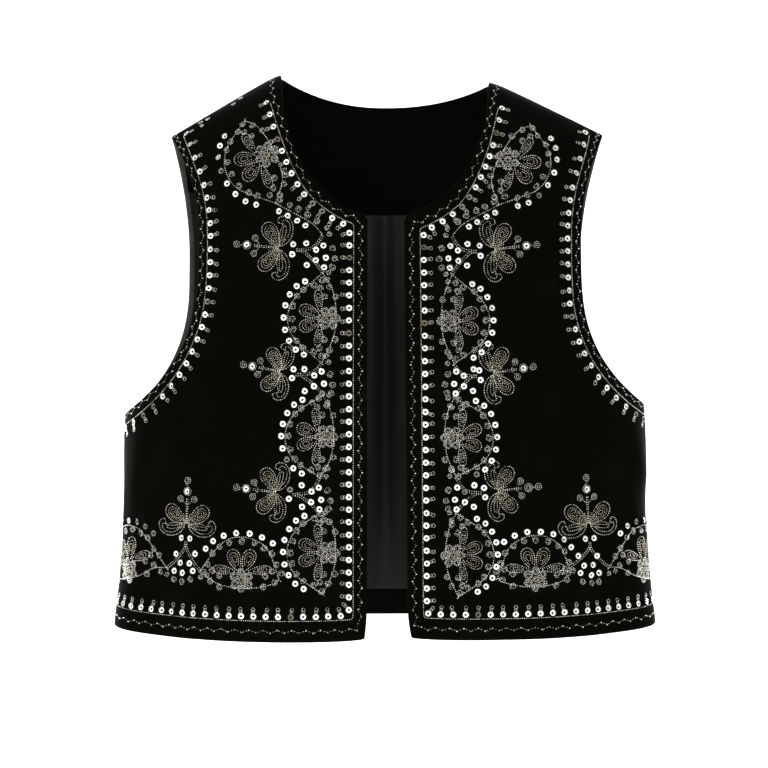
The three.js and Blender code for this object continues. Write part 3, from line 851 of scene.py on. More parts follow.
def border_line(edges, distances):
    """A line at a given distance from each point of several edges, which meet at corners."""
    parts = []
    for edge, distance in zip(edges, distances):
        line = edge + inward(edge) * distance[:, None]
        for other, gap in zip(edges, distances):
            apart = np.linalg.norm(line[:, None] - other[None], axis=-1)
            line = line[apart.min(axis=1) > gap[apart.argmin(axis=1)] - NEAR_ENOUGH]
        parts.append(line)
    line = resample(np.concatenate(parts), LINE_PITCH)
    reach = int(CORNER_ROUND / LINE_PITCH)
    weights = np.hanning(2 * reach + 1)
    padded = np.concatenate([
        2 * line[0] - line[reach:0:-1], line, 2 * line[-1] - line[-2:-reach - 2:-1]
    ])
    soft = [np.convolve(padded[:, k], weights / weights.sum(), mode="valid") for k in (0, 1)]
    return np.stack(soft, axis=-1)


# %% The edges of each front, laid flat
EDGE_PITCH = 0.7
opening_rows = (FRONT_ROWS["underarm"] + FRONT_ROWS["corner"]) * FINER
neck_row = opening_rows + FRONT_ROWS["turn"] * FINER
front_edges = {}
for side_name, side in SIDES.items():
    start, end = flat(front_inner_edge(side)), flat(front_outer_edge(side))
    edges = {
        "hem": flat(front_grid(side)[0])[::-1], "opening": start[:opening_rows + 1],
        "neck": start[neck_row:], "armhole": end[FRONT_ROWS["underarm"] * FINER:][::-1],
    }
    front_edges[side_name] = {name: resample(edge, EDGE_PITCH) for name, edge in edges.items()}
    lengths = {name: int(EDGE_PITCH * (len(edge) - 1)) for name, edge in front_edges[side_name].items()}
    print(side_name, "edges, mm:", lengths)

# %% [markdown]
# ## Stitches
# The lines are sewn in metal thread, a bright foil wound on a core. A chain stitch shows as a row of
# short plump links with dark velvet between them, so every link is a bead of its own: two rings of
# four points and two ends. Thousands of them go into one mesh, which keeps Blender quick.

# %% Threads: pitch and radius of their links in mm, and the share of the pitch that a link fills
SILVER, GOLD = 0, 1
VINE = (1.9, 0.43, 0.54)
WHEEL = (1.55, 0.37, 0.56)
RING = (1.0, 0.3, 0.7)
FINE_RING = (1.0, 0.28, 0.7)
FINEST_RING = (1.0, 0.26, 0.7)
LINK_UNEVEN = (0.82, 1.2)
WHEEL_UNEVEN = (0.94, 1.06)
WHEEL_STEPS = 48
WHEEL_GROWTH = 0.7  # power by which a wheel's thread moves out; below 1 it is closest at the rim
RING_STEPS = 25
KNOT_LENGTH = 1.15  # a knot's half length, as a share of its radius
rng = np.random.default_rng(11)


def thinner(thread, radius):
    return (thread[0], radius, thread[2])


# %% A bag of stitches, wheels and sequins for one front
class Needlework:
    """What is sewn on one front: links as (s, h, ds, dh, half length, radius, colour) and sequins."""

    def __init__(self):
        self.links = []
        self.border = []
        self.sequins = []

    def end_border(self):
        """What has been sewn so far is the border."""
        self.border, self.links = self.links, []

    def sew(self, path, thread=VINE, colour=SILVER):
        """A row of links along a path."""
        pitch, radius, fill = thread
        points = resample(np.asarray(path, dtype=float), pitch)
        step = np.diff(points, axis=0)
        length = np.linalg.norm(step, axis=1, keepdims=True)
        ahead = step / np.maximum(length, 1e-6)
        rest = np.broadcast_to([radius, colour], (len(step), 2))
        uneven = rng.uniform(*LINK_UNEVEN, (len(step), 2)) * (1, 0) + (0, 1)
        self.links.append(np.concatenate(
            [(points[1:] + points[:-1]) / 2, ahead, length * fill / 2, rest * uneven], axis=1
        ))

    def knots(self, points, radius):
        """A single round stitch at each point."""
        shape = np.broadcast_to([1.0, 0.0, radius * KNOT_LENGTH, radius, SILVER], (len(points), 5))
        self.links.append(np.concatenate([points, shape], axis=1))

    def ring(self, centre, radius, thread=RING):
        turn = np.linspace(0, 2 * math.pi, RING_STEPS) + rng.uniform(0, 1)
        self.sew(centre + radius * compass(turn), thread)

    def wheel(self, centre, radius=2.8, turns=1.75, inner=0.7, thread=WHEEL, colour=SILVER):
        """A little wheel: the thread winds out from its middle."""
        start = rng.uniform(0, 2 * math.pi)
        turn = np.linspace(0, 2 * math.pi * turns, WHEEL_STEPS)
        grown = np.linspace(0, 1, WHEEL_STEPS) ** WHEEL_GROWTH
        reach = rng.uniform(*WHEEL_UNEVEN) * lerp(inner, radius, grown)[:, None]
        self.sew(centre + reach * compass(start + turn), thread, colour)

    def sequin(self, points):
        self.sequins.append(np.atleast_2d(points))


# %% [markdown]
# ## Motifs
# Each motif is drawn once in its own frame: u points away from the edge that the motif stands on and
# v along that edge. A spot then turns and places it on the cloth. They are the common forms of folk
# needlework: a palm of five leaves, an oval medallion with a flower, wheels and diamonds.

# %% A spot on the cloth
class Spot:
    """A place on the flat cloth, a direction for u in degrees, and a size."""

    def __init__(self, at, degrees, size=1.0):
        self.at = np.asarray(at, dtype=float)
        self.u = size * compass(degrees * DEG)
        self.v = np.array([-self.u[1], self.u[0]])

    def lay(self, points):
        points = np.asarray(points, dtype=float)
        return self.at + points[..., :1] * self.u + points[..., 1:] * self.v

    def local(self, point):
        offset = np.asarray(point) - self.at
        return np.array([offset @ self.u, offset @ self.v]) / (self.u @ self.u)


def oval(half_u, half_v, from_degrees, to_degrees, count):
    return compass(np.linspace(from_degrees, to_degrees, count) * DEG) * (half_u, half_v)


LEAF_HEART = 0.58  # of a leaf's length from its base, where its inner outlines close in
LEAF_FULLEST = 0.77  # the most that its formula swells to, at its widest
LEAF_OUTLINE = (1.85, 0.39, 0.54)
LEAF_ROWS = {SILVER: (1.7, 0.3, 0.48), GOLD: (1.7, 0.3, 0.52)}


def leaf(base, tip, width, share=1.0, start=0.06):
    """A leaf's outline from its base round its tip, drawn in towards its far end by share."""
    base, tip = np.asarray(base, dtype=float), np.asarray(tip, dtype=float)
    axis = tip - base
    side = np.array([-axis[1], axis[0]]) / np.linalg.norm(axis)
    turn = np.linspace(2 * math.pi * start, 2 * math.pi * (1 - start), 40)[:, None]
    along = lerp(LEAF_HEART, (1 - np.cos(turn)) / 2, share)
    out = np.sin(turn) * np.sin(turn / 2) / LEAF_FULLEST * width / 2 * share
    return base + axis * along + side * out


def nested_leaf(work, spot, base, tip, width, silver_shares, gold_shares, start=0.06):
    """A leaf's outline with rows inside it."""
    for colour, several in ((SILVER, silver_shares), (GOLD, gold_shares)):
        for share in several:
            thread = LEAF_OUTLINE if share == 1 else LEAF_ROWS[colour]
            work.sew(spot.lay(leaf(base, tip, width, share, start)), thread, colour)


# %% The medallion: half width, half height, end angles and count of each arc of sequins or wheels
LONG_ARC = (22.3, 30.4, 77, -75, 9)
SHORT_ARC = (22.3, 32, 68, -64, 8)
FRONT_WHEELS = (15.8, 25.5, 66, -66, 7)
END_WHEELS = [(22.6, 33, 112, 149, 3), (13.8, 27.5, 100, 140, 3)]
WHEEL_STRAY = 0.5  # mm that a wheel may stand off its arc
OUTER_VINE = [(8.6, 21), (16.6, 11), (19.2, 0), (17, -11), (9, -21)]
INNER_VINE = [(-16.6, 24), (-19.6, 11), (-20, -1), (-18.8, -12), (-15, -23)]
PAST_CROSSING = np.array([-1.4, 1.6])
FLOWER_AT = np.array([-14.2, 0.0])
FLOWER = {"petals": 6, "reach": 6.3, "petal": (3.6, 2.6, 0.7), "centre": (3.0, 2.2, 0.6)}
FLOWER_THREAD = thinner(WHEEL, 0.42)
MEDALLION_LEAVES = [  # base, tip, width, shares of the silver rows and of the gold ones, and start
    ((-7.2, 4.2), (-5.2, 23), 6.4, (1, 0.6), (0.3,), 0.06),
    ((-7.6, 1.6), (9.4, 8.4), 10.0, (1,), (0.66, 0.36), 0.1),
]


def medallion(work, spot, top, bottom, arc=SHORT_ARC):
    """An oval vine from its top crossing to its bottom one, with a flower and leaves inside it."""
    past_top, past_bottom = top + PAST_CROSSING, bottom + PAST_CROSSING * (1, -1)
    work.sew(spot.lay(smooth_path([past_top, top, *OUTER_VINE, bottom, past_bottom])))
    work.sew(spot.lay(smooth_path([top, *INNER_VINE, bottom])))
    work.sequin(spot.lay(oval(*arc)))
    wheels = [oval(*FRONT_WHEELS)]
    for way in (1, -1):
        wheels += [oval(u, v, way * start, way * end, count) for u, v, start, end, count in END_WHEELS]
    for centre in np.concatenate(wheels):
        work.wheel(spot.lay(centre + rng.uniform(-WHEEL_STRAY, WHEEL_STRAY, 2)))
    angles = np.arange(FLOWER["petals"]) * 360 / FLOWER["petals"] * DEG
    for petal in FLOWER_AT + FLOWER["reach"] * compass(angles):
        work.wheel(spot.lay(petal), *FLOWER["petal"], FLOWER_THREAD)
    work.wheel(spot.lay(FLOWER_AT), *FLOWER["centre"], FLOWER_THREAD, GOLD)
    for way in (1, -1):
        for base, tip, *rest in MEDALLION_LEAVES:
            nested_leaf(work, spot, np.array(base) * (1, way), np.array(tip) * (1, way), *rest)


# %% The palm
PALM_TIP = 43.4  # from its fork to the sequin at its tip
PALM_TIP_RING = 3.3
PALM_HEART = np.array([16.5, 0.0])
HOOKED_LEAF = [  # its rows, each with its thread and colour
    (LEAF_OUTLINE, SILVER, [
        (15.5, 1.8), (11, 5), (8, 11), (8, 18), (11, 23.4), (16, 25.4), (20, 23.6), (20.8, 20.4),
        (18.6, 19.6),
    ]),
    (LEAF_ROWS[SILVER], SILVER, [(16.8, 4), (17.8, 9), (17.6, 14), (16, 18.4), (18.6, 19.6)]),
    (LEAF_ROWS[SILVER], SILVER, [
        (15.4, 3.6), (12.2, 8), (10.2, 13), (10.8, 19.6), (14.4, 22.6), (17, 21.6), (16, 18.6),
    ]),
    (LEAF_ROWS[GOLD], GOLD, [(15.6, 6), (13.4, 10.6), (13, 16), (14.6, 18.6), (15.6, 14.6), (16, 8)]),
]
LOBE = {"from": (17, 1.2), "to": (30.8, 18.4), "width": 12.0, "rows": ((1,), (0.68, 0.46, 0.24))}
LOBE_SEQUIN = (6.2, 3.9)
RAYS = {"angles": np.linspace(-110, 110, 13) * DEG, "reach": (1.2, 9.8), "thread": (1.5, 0.34, 0.54)}
STEM_THREAD, BUD_THREAD, END_THREAD = (thinner(VINE, radius) for radius in (0.32, 0.28, 0.26))
STEM = [(17, 0.6), (38, 0.6)]
STEM_BUD = {"at": (37.2, 6.1), "curl": [(33, 0.5), (34.5, 3), (36, 4)], "radii": (2.5, 1.2)}
END_BUD = {"at": (52, 0), "curl": [(46.4, 1.2), (48.6, -0.8), (50, -2.2)], "radii": (2.6, 1.2)}


def palm_side(work, spot, way):
    """The sequin, the two leaves, the stem and the bud on one side (1 or -1) of a palm."""
    def lay(points):
        return spot.lay(np.array(points) * (1, way))

    work.sequin(lay(LOBE_SEQUIN))
    base, tip = (np.array(LOBE[end]) * (1, way) for end in ("from", "to"))
    nested_leaf(work, spot, base, tip, LOBE["width"], *LOBE["rows"])
    for thread, colour, line in HOOKED_LEAF:
        work.sew(lay(smooth_path(line)), thread, colour)
    work.sew(lay(STEM), STEM_THREAD)
    for radius in STEM_BUD["radii"]:
        work.ring(lay(STEM_BUD["at"]), radius)
    work.sew(lay(smooth_path(STEM_BUD["curl"])), BUD_THREAD)


def palm(work, base, tip):
    """A palm of five leaves on its fork, with a stem that ends in a ringed sequin."""
    span = np.asarray(tip) - np.asarray(base)
    spot = Spot(base, math.degrees(math.atan2(span[1], span[0])), np.linalg.norm(span) / PALM_TIP)
    for way in (1, -1):
        palm_side(work, spot, way)
    for ray in compass(RAYS["angles"]):
        ends = [PALM_HEART + reach * ray for reach in RAYS["reach"]]
        work.sew(spot.lay(ends), RAYS["thread"], GOLD)
    work.sequin(spot.lay((PALM_TIP, 0)))
    work.ring(spot.lay((PALM_TIP, 0)), PALM_TIP_RING, FINE_RING)
    work.sew(spot.lay(smooth_path(END_BUD["curl"])), END_THREAD)
    for radius, thread in zip(END_BUD["radii"], (FINE_RING, FINEST_RING)):
        work.ring(spot.lay(END_BUD["at"]), radius, thread)
    return spot


# %% The fork, its vines and its diamond of sequins
DIAMOND = [(8.5, 9.6), (0.5, 4.5), (-5.4, 7.8), (-7.3, -2), (0.8, -4), (8.1, -7.9), (-5.9, -9.8)]
DIAMOND_WHEELS = [(-12.4, 5.7), (-14.4, -2.8), (-12.9, -9.8)]
FORK_VINE = thinner(VINE, 0.3)
FORK_HALF_GAP = 0.85
FORK_START = (4, 0)
FORK_DIP = (-1.5, 0.04)  # u where its vines dip below it, and v there as a share of the way across
FORK_TURN, FORK_REACH = (0.47, 0.12), (0.8, 0.5)  # shares of the way along, and across if bowed
OPENING_BOWS, HEM_BOWS = (1, 0.35), (0.35, 0.35)  # how far its upper and lower vines are bowed
CROSSING_WHEELS = {"radius": 2.3, "behind": (-5.2, 0.4), "beyond": (-3.6, 5.6)}


def fork(work, palm_spot, u_degrees, diamond_at, crossings, bows=OPENING_BOWS):
    """Two double vines from a palm's fork to the crossings beside it, round a diamond of sequins."""
    spot = Spot(palm_spot.at, u_degrees)
    for crossing, bow in zip(crossings, bows):
        end = spot.local(crossing)
        bends = [end * (along, lerp(along, bowed, bow)) for along, bowed in (FORK_TURN, FORK_REACH)]
        dip = (FORK_DIP[0], FORK_DIP[1] * end[1])
        line = smooth_path([FORK_START, dip, *bends, end])
        for gap in (FORK_HALF_GAP, -FORK_HALF_GAP):
            work.sew(spot.lay(line + inward(line) * gap), FORK_VINE)
        beyond = np.array(CROSSING_WHEELS["beyond"]) * (1, np.sign(end[1]))
        for offset in (CROSSING_WHEELS["behind"], beyond):
            work.wheel(spot.lay(end + offset), CROSSING_WHEELS["radius"])
    diamond = Spot(diamond_at, u_degrees)
    work.sequin(diamond.lay(DIAMOND))
    for place in DIAMOND_WHEELS:
        work.wheel(diamond.lay(place))


# %% [markdown]
# ## The borders
# All round each front run a feathered zigzag with a knot at each turn, a plain chain line, and a row
# of sequins, each with a figure of eight of thread on its inner side. The two fronts weren't cut
# quite alike, so the distances from the edges differ a little from right to left.

# %% Border distances in mm from the edges: hem, opening, neck, armhole
BORDERS = {
    "right": {
        "zigzag": (8.8, 5.5, 5.5, 3.3), "chain": (17.4, 11.0, 10.2, 8.0), "sequin": (21, 14.4, 13.4, 10.8),
    },
    "left": {
        "zigzag": (8.8, 5.5, 9.5, 4.1), "chain": (17.4, 12.7, 14.7, 9.5), "sequin": (21, 15.6, 17.7, 13.2),
    },
}
NECK_DRAWN_IN = {  # the rows run nearer to the neck edge between these shares of it, by so many mm
    "right": {"by": 3.3, "from": 0.24, "to": 0.66}, "left": {"by": 7.3, "from": 0.2, "to": 0.86},
}
NECK_ENDS_IN = {  # and further from it at the shoulder, in mm
    "right": {"zigzag": 3.0, "chain": 2.2, "sequin": 2.3}, "left": {"zigzag": 0, "chain": 1.4, "sequin": 1.5},
}
SEQUIN_PITCH = {"front": 10.15, "armhole": 10.6}
WIDER_NEAR_TOP = {"front": 0.55, "armhole": 1.2}  # added share of the pitch at the very top
WIDER_NEAR_UNDERARM = {"front": 0.0, "armhole": 0.4}
WIDENS_OVER = 100  # mm
ARMHOLE_ENDS_IN = {  # mm that the rows stand further in at the underarm and at the shoulder
    "right": {"zigzag": (0.0, 0.6), "chain": (2.2, 2.4), "sequin": (3.4, 3.0)},
    "left": {"zigzag": (0.0, 0.6), "chain": (0.0, 2.4), "sequin": (1.2, 3.0)},
}
ZIGZAG = {"step": 5.8, "front": 1.5, "armhole": 1.3, "hem": 1.1, "thread": (2.6, 0.16, 0.42)}
ZIGZAG_KNOT = 0.52
NEAR_HEM = 2  # mm past the zigzag's own distance, within which it is the hem's
ZIGZAG_UNEVEN = (0.8, 1.2)
CHAIN = (1.75, 0.32, 0.62)
NECK_MOVES_IN, ARMHOLE_MOVES_IN = (0.6, 0.72), (0.75, 0.9)  # shares of the edge, near the shoulder
BELOW_SHOULDER = {"front": 54, "armhole": 29}  # the chain and sequins stop this far below the top
LOOPS = ((3.7, 1.2), (5.6, 1.45))  # distance from the sequin, and radius
LOOP_LEAN = 0.16  # standard deviation in radians
LOOP_THREAD = (0.95, 0.28, 0.7)


def below_ridge(points):
    """How far points lie below the top of the shoulder, along the cloth."""
    around = around_at(points[:, 0], points[:, 1])
    return ridge_up(level(points[:, 1], "half_width") * np.sin(around)) - points[:, 1]


def armhole_distances(edge, distance, at_underarm, at_shoulder):
    near_underarm = np.clip(1 - np.linalg.norm(edge - edge[-1], axis=1) / WIDENS_OVER, 0, 1)
    near_shoulder = smooth_step(np.linspace(1, 0, len(edge)), *ARMHOLE_MOVES_IN)
    return distance + at_underarm * near_underarm + at_shoulder * near_shoulder


def neck_distances(edge, distance, drawn_in, at_shoulder):
    share = np.linspace(0, 1, len(edge))
    along = np.clip((share - drawn_in["from"]) / (drawn_in["to"] - drawn_in["from"]), 0, 1)
    nearer = drawn_in["by"] * np.sin(math.pi * along)
    return distance - nearer + at_shoulder * smooth_step(share, *NECK_MOVES_IN)


def sequin_places(row, run, underarm):
    """Places along a row, further apart where it nears the top of the shoulder or the underarm."""
    near_top = np.clip(1 - below_ridge(row) / WIDENS_OVER, 0, 1)
    near_underarm = np.clip(1 - np.linalg.norm(row - underarm, axis=1) / WIDENS_OVER, 0, 1)
    wider = 1 + WIDER_NEAR_TOP[run] * near_top + WIDER_NEAR_UNDERARM[run] * near_underarm
    return cut_evenly(row, SEQUIN_PITCH[run] * wider[1:])


def sew_border(work, side_name):
    edges = front_edges[side_name]
    distances = BORDERS[side_name]
    runs = {"front": (("hem", "opening", "neck"), slice(0, 3)), "armhole": (("armhole",), slice(3, 4))}
    for run, (names, part) in runs.items():
        lines = {}
        for row in ("zigzag", "chain", "sequin"):
            gaps = [np.full(len(edges[name]), gap) for name, gap in zip(names, distances[row][part])]
            if run == "front":
                drawn_in, ends_in = NECK_DRAWN_IN[side_name], NECK_ENDS_IN[side_name][row]
                gaps[-1] = neck_distances(edges["neck"], gaps[-1], drawn_in, ends_in)
            else:
                gaps = [armhole_distances(edges["armhole"], gaps[0], *ARMHOLE_ENDS_IN[side_name][row])]
            lines[row] = border_line([edges[name] for name in names], gaps)
        middle = resample(lines["zigzag"], ZIGZAG["step"])
        way = np.where(np.arange(len(middle)) % 2 == 0, 1, -1)[:, None]
        near_hem = distance_to(middle, edges["hem"])[:, None] < distances["zigzag"][0] + NEAR_HEM
        uneven = rng.uniform(*ZIGZAG_UNEVEN, (len(middle), 1))
        swing = np.where(near_hem, ZIGZAG["hem"], ZIGZAG[run]) * uneven
        turns = middle + inward(middle) * way * swing
        work.sew(turns, ZIGZAG["thread"])
        work.knots(turns, ZIGZAG_KNOT)
        chain, row = (lines[k][below_ridge(lines[k]) > BELOW_SHOULDER[run]] for k in ("chain", "sequin"))
        work.sew(chain, CHAIN)
        places = sequin_places(row, run, edges["armhole"][-1])
        work.sequin(places)
        into = inward(places) + rng.normal(0, LOOP_LEAN, (len(places), 1)) * directions(places)
        for reach, radius in LOOPS:
            for centre in places + into * reach:
                work.ring(centre, radius, LOOP_THREAD)


# %% [markdown]
# ## Sew both fronts
# The places of the motifs are what one reads off a front that lies before one: across from the
# centre, and up. Palms and medallions take turns up the opening, and a second row stands on the hem.

# %% Where the motifs stand, in mm across and up as seen from the front
MOTIFS = {
    "right": {
        "shoulder": (109.3, -51.5),
        "palms": [((67.8, -122.5), (111.5, -117.9)), ((68.3, -222.9), (106.7, -216)),
                  ((70.8, -319.3), (111.5, -314.5))],
        "medallions": [(59.1, -177.5), (61, -272.6), (59.6, -365.9)],
        "diamonds": [(54.7, -126.8), (56, -228), (58.4, -321.1)],
        "crossings": [((50.1, -110.1), (50, -141.2)), ((50.6, -213.5), (49.8, -239.5)),
                      ((52.2, -304.9), (53, -334.2))],
        "hem_palm": ((161.8, -361.9), (160.1, -317.4)), "hem_diamond": (162.7, -376.6),
        "hem_crossings": ((149.1, -381.8), (178.8, -380.3)),
        "hem_medallions": [(115.2, -374), (212.2, -368.5)],
    },
    "left": {
        "shoulder": (112.6, -51.6),
        "palms": [((70.2, -123.8), (114.3, -118.5)), ((70.1, -224.1), (111.5, -217.5)),
                  ((74, -318), (115.2, -313.7))],
        "medallions": [(65.1, -179.7), (67.8, -273.4), (68.8, -368.2)],
        "diamonds": [(58, -127.2), (62.4, -228), (63.3, -321.1)],
        "crossings": [((54.1, -110.9), (53.9, -142.6)), ((55.4, -214.2), (55.5, -241.9)),
                      ((57.1, -304.9), (57.1, -334.2))],
        "hem_palm": ((166.5, -362.7), (163.6, -315.6)), "hem_diamond": (165.3, -378.3),
        "hem_crossings": ((148.2, -378.9), (183.9, -379.9)),
        "hem_medallions": [(120.9, -372.8), (214.4, -368.5)],
    },
}
SHOULDER_TURN = -28  # degrees that the shoulder medallion leans down towards the armhole
SHOULDER_SIZE = 1.12
SHOULDER_ENDS = ((-10.5, 32.5), (-3.0, -34.5))  # its top and bottom
SHOULDER_WHEELS = {  # x, and below the top of the shoulder
    "right": [(118.5, 22), (124.5, 26), (146, 25), (152.5, 22), (151, 31)], "left": [],
}
SHOULDER_WHEEL = 2.4
SHOULDER_BULGES = ((0.3, (0, 1.6)), (0.72, (-1.8, 2.2)))  # shares along its vine, and mm aside
VINE_WHEELS = {"at": (0.06, 0.24, 0.42, 0.6, 0.78), "aside": 4.2}
VINE_SEQUINS = {"after": 0.07, "last": 0.7, "aside": 4.4}  # shares after each wheel but the last
LOWEST_END = (-9.6, -33.5)  # of the opening's lowest medallion
HEM_SIZES = (1.06, 1.12)
HEM_ENDS = ((-13.0, 29.0), (-9.0, -34.0))  # the top of the middle medallion, the bottom of the side's
SIDE_TURN = -12  # degrees that the medallion on the side seam leans towards it
SEAM_MARGIN = {"thread": 2, "sequin": 3}
SEQUINS_APART = 4.7  # mm from centre to centre, so that two may just overlap at their rims


def sew_opening(work, at):
    """The palms, forks and medallions up the opening. Returns the topmost crossing."""
    crossings = [tuple(seen(*point) for point in pair) for pair in at["crossings"]]
    palms = [palm(work, seen(*base), seen(*tip)) for base, tip in at["palms"]]
    for spot, diamond, pair in zip(palms, at["diamonds"], crossings):
        fork(work, spot, 0, seen(*diamond), pair)
    below = [crossings[1][0], crossings[2][0], None]
    for centre, (_, above), under in zip(at["medallions"], crossings, below):
        spot = Spot(seen(*centre), 0)
        bottom = np.array(LOWEST_END) if under is None else spot.local(under)
        medallion(work, spot, spot.local(above), bottom, LONG_ARC)
    return crossings[0][0]


def sew_shoulder(work, at, crossing, wheels):
    """The shoulder's medallion, and the vine from it to the opening's topmost crossing."""
    shoulder = Spot(seen(*at["shoulder"]), SHOULDER_TURN, SHOULDER_SIZE)
    top, bottom = np.array(SHOULDER_ENDS)
    medallion(work, shoulder, top, bottom)
    start = shoulder.lay(bottom)
    bulges = [lerp(start, crossing, share) + bulge for share, bulge in SHOULDER_BULGES]
    vine = resample(smooth_path([start, *bulges, crossing]), 1)
    work.sew(vine)
    beside = inward(vine)
    for share in VINE_WHEELS["at"]:
        i, j = (int(at * (len(vine) - 1)) for at in (share, share + VINE_SEQUINS["after"]))
        work.wheel(vine[i] + beside[i] * VINE_WHEELS["aside"])
        if share < VINE_SEQUINS["last"]:
            work.sequin(vine[j] - beside[j] * VINE_SEQUINS["aside"])
    for x, below in wheels:
        up = ridge_up(x) - below
        work.wheel(flat(np.array([math.asin(x / level(up, "half_width")), up])), SHOULDER_WHEEL)


def sew_hem(work, at):
    """The hem's palm with its fork, and a medallion on each side of it."""
    hem_palm = palm(work, *(seen(*point) for point in at["hem_palm"]))
    crossings = [seen(*point) for point in at["hem_crossings"]]
    fork(work, hem_palm, 90, seen(*at["hem_diamond"]), crossings, HEM_BOWS)
    middle = Spot(seen(*at["hem_medallions"][0]), 90, HEM_SIZES[0])
    side = Spot(seen(*at["hem_medallions"][1]), 90 + SIDE_TURN, HEM_SIZES[1])
    middle_top, side_bottom = np.array(HEM_ENDS)
    medallion(work, middle, middle_top, middle.local(crossings[0]))
    medallion(work, side, side.local(crossings[1]), side_bottom)


def sew_front(side_name):
    work = Needlework()
    sew_border(work, side_name)
    work.end_border()
    at = MOTIFS[side_name]
    crossing = sew_opening(work, at)
    sew_shoulder(work, at, crossing, SHOULDER_WHEELS[side_name])
    sew_hem(work, at)
    return work


works = {side_name: sew_front(side_name) for side_name in ("right", "left")}


def inside_seam(parts, margin):
    """What lies further than a margin from the side seam, where the cut goes through the work."""
    rows = np.concatenate(parts)
    return rows[rows[:, 0] < np.interp(rows[:, 1], side_seam[:, 1], side_seam[:, 0]) - margin]


def side_by_side(places):
    """Sequins without those that would lie on an earlier one."""
    apart = np.linalg.norm(places[:, None] - places[None], axis=-1)
    return places[~np.triu(apart < SEQUINS_APART, 1).any(axis=0)]


for side_name, work in works.items():
    work.border, work.links = (
        inside_seam(parts, SEAM_MARGIN["thread"]) for parts in (work.border, work.links)
    )
    work.sequins = side_by_side(inside_seam(work.sequins, SEAM_MARGIN["sequin"]))
    print(side_name, "links:", len(work.border), "+", len(work.links), " sequins:", len(work.sequins))

# %% [markdown]
# ## Thread and sequins as meshes
# A link's ends and rings are placed from the cloth's own point and directions under it, so that the
# thread follows every fold. Sequins are shallow cups 5 mm across with a hole, stamped from
# metallised film. None lies quite level, which is what makes a row of them sparkle.

# %% Thread
LINK_SIDES = 4
RING_AT = 0.55  # of the half length, where a link is fullest
LINK_HEIGHT = 0.85  # of its width
THREAD_SINK = 0.1  # mm that the thread is pulled into the pile
LOOK_AHEAD = 0.5  # mm over which the cloth's own direction is measured


def frames_on_cloth(flat_points, ahead, turned_over, out):
    """Points on the velvet's face, with their unit directions ahead, across and outward."""
    way = -1 if turned_over else 1
    s, h = flat_points[:, 0], flat_points[:, 1]
    centre = cloth_point(way * around_at(s, h), h, out)
    s2, h2 = s + ahead[:, 0] * LOOK_AHEAD, h + ahead[:, 1] * LOOK_AHEAD
    along = unit(cloth_point(way * around_at(s2, h2), h2, out) - centre)
    across = unit(np.cross(outward(way * around_at(s, h), h), along))
    return centre, along, across, np.cross(along, across)


def thread_mesh(name, links, turned_over, materials):
    out = np.full(len(links), VELVET / 2 - THREAD_SINK) + links[:, 5] * LINK_HEIGHT
    centre, along, across, normal = frames_on_cloth(links[:, :2], links[:, 2:4], turned_over, out)
    half, radius = links[:, 4:5], links[:, 5:6]
    n = LINK_SIDES
    points = [centre - along * half]
    for ring in (-RING_AT, RING_AT):
        for i in range(n):
            angle = 2 * math.pi * (i + 0.5) / n
            round_it = across * math.cos(angle) + normal * math.sin(angle) * LINK_HEIGHT
            points.append(centre + along * half * ring + round_it * radius)
    points.append(centre + along * half)
    faces = []
    for i in range(n):
        a, b, c, d = 1 + i, 1 + (i + 1) % n, 1 + n + i, 1 + n + (i + 1) % n
        faces += [(0, b, a), (a, b, d), (a, d, c), (c, d, 2 * n + 1)]
    return joined_copies(name, points, faces, materials, links[:, 6])


def joined_copies(name, points, faces, materials, kinds=None):
    """One mesh of many copies: points is a list with each corner's place in every copy."""
    count, corners = len(points[0]), len(points)
    places = np.stack(points, axis=1).reshape(-1, 3)
    all_faces = np.array(faces)[None] + np.arange(count)[:, None, None] * corners
    kinds = None if kinds is None else np.repeat(kinds, len(faces))
    return add_mesh(name, places, all_faces.reshape(-1, len(faces[0])), materials, kinds)


# %% [markdown]
# ### Metal thread
# Metal thread is aluminised film slit and wound on a yarn. The film is bright, but its winding
# breaks the highlight up, so it is a metal of middling roughness. Each link differs a little in
# tone, which one random value for each loose part of the mesh gives. The palms' inner rows are a
# warmer gold.

# %% Silver and champagne thread
def wound_film(name, dark, light):
    material, place = new_material(name)
    island = add_node(material, "ShaderNodeNewGeometry")
    patches = add_noise(material, place, 11, 2)
    tone = add_node(material, "ShaderNodeMix", {"data_type": "FLOAT"}, {
        "Factor": 0.4, "A": (island, "Random Per Island"), "B": (patches, "Fac"),
    })
    colour = add_ramp(material, (tone, "Result"), [(0.2, dark), (0.6, light)])
    winding = add_noise(material, place, 0.35, 1)
    return finish_material(material, {
        "Base Color": (colour, "Color"), "Metallic": 1.0, "Roughness": 0.38,
        "Normal": (add_bump(material, (winding, "Fac"), 0.4, 0.08), "Normal"),
    })


silver_thread = wound_film("silver_film_thread", "#7d7b73", "#fffdf6")
gold_thread = wound_film("champagne_film_thread", "#8f886f", "#fbf4da")

# %% [markdown]
# ### Sequins
# Most are white silver. A few have lost part of their metal film and look grey or faintly brown, as
# on the real garment, which a stepped ramp over the same random value gives.

# %% Metallised film sequins
def metallised_film():
    material, place = new_material("metallised_film_sequin")
    island = add_node(material, "ShaderNodeNewGeometry")
    colour = add_ramp(material, (island, "Random Per Island"), [
        (0.0, "#f6f6f3"), (0.5, "#eaeae5"), (0.87, "#6e6d66"), (0.965, "#615c4c"),
    ])
    colour.color_ramp.interpolation = "CONSTANT"
    scratches = add_noise(material, place, 0.8, 2)
    return finish_material(material, {
        "Base Color": (colour, "Color"), "Metallic": 1.0,
        "Roughness": (add_range(material, (scratches, "Fac"), 0.16, 0.3), "Result"),
    })


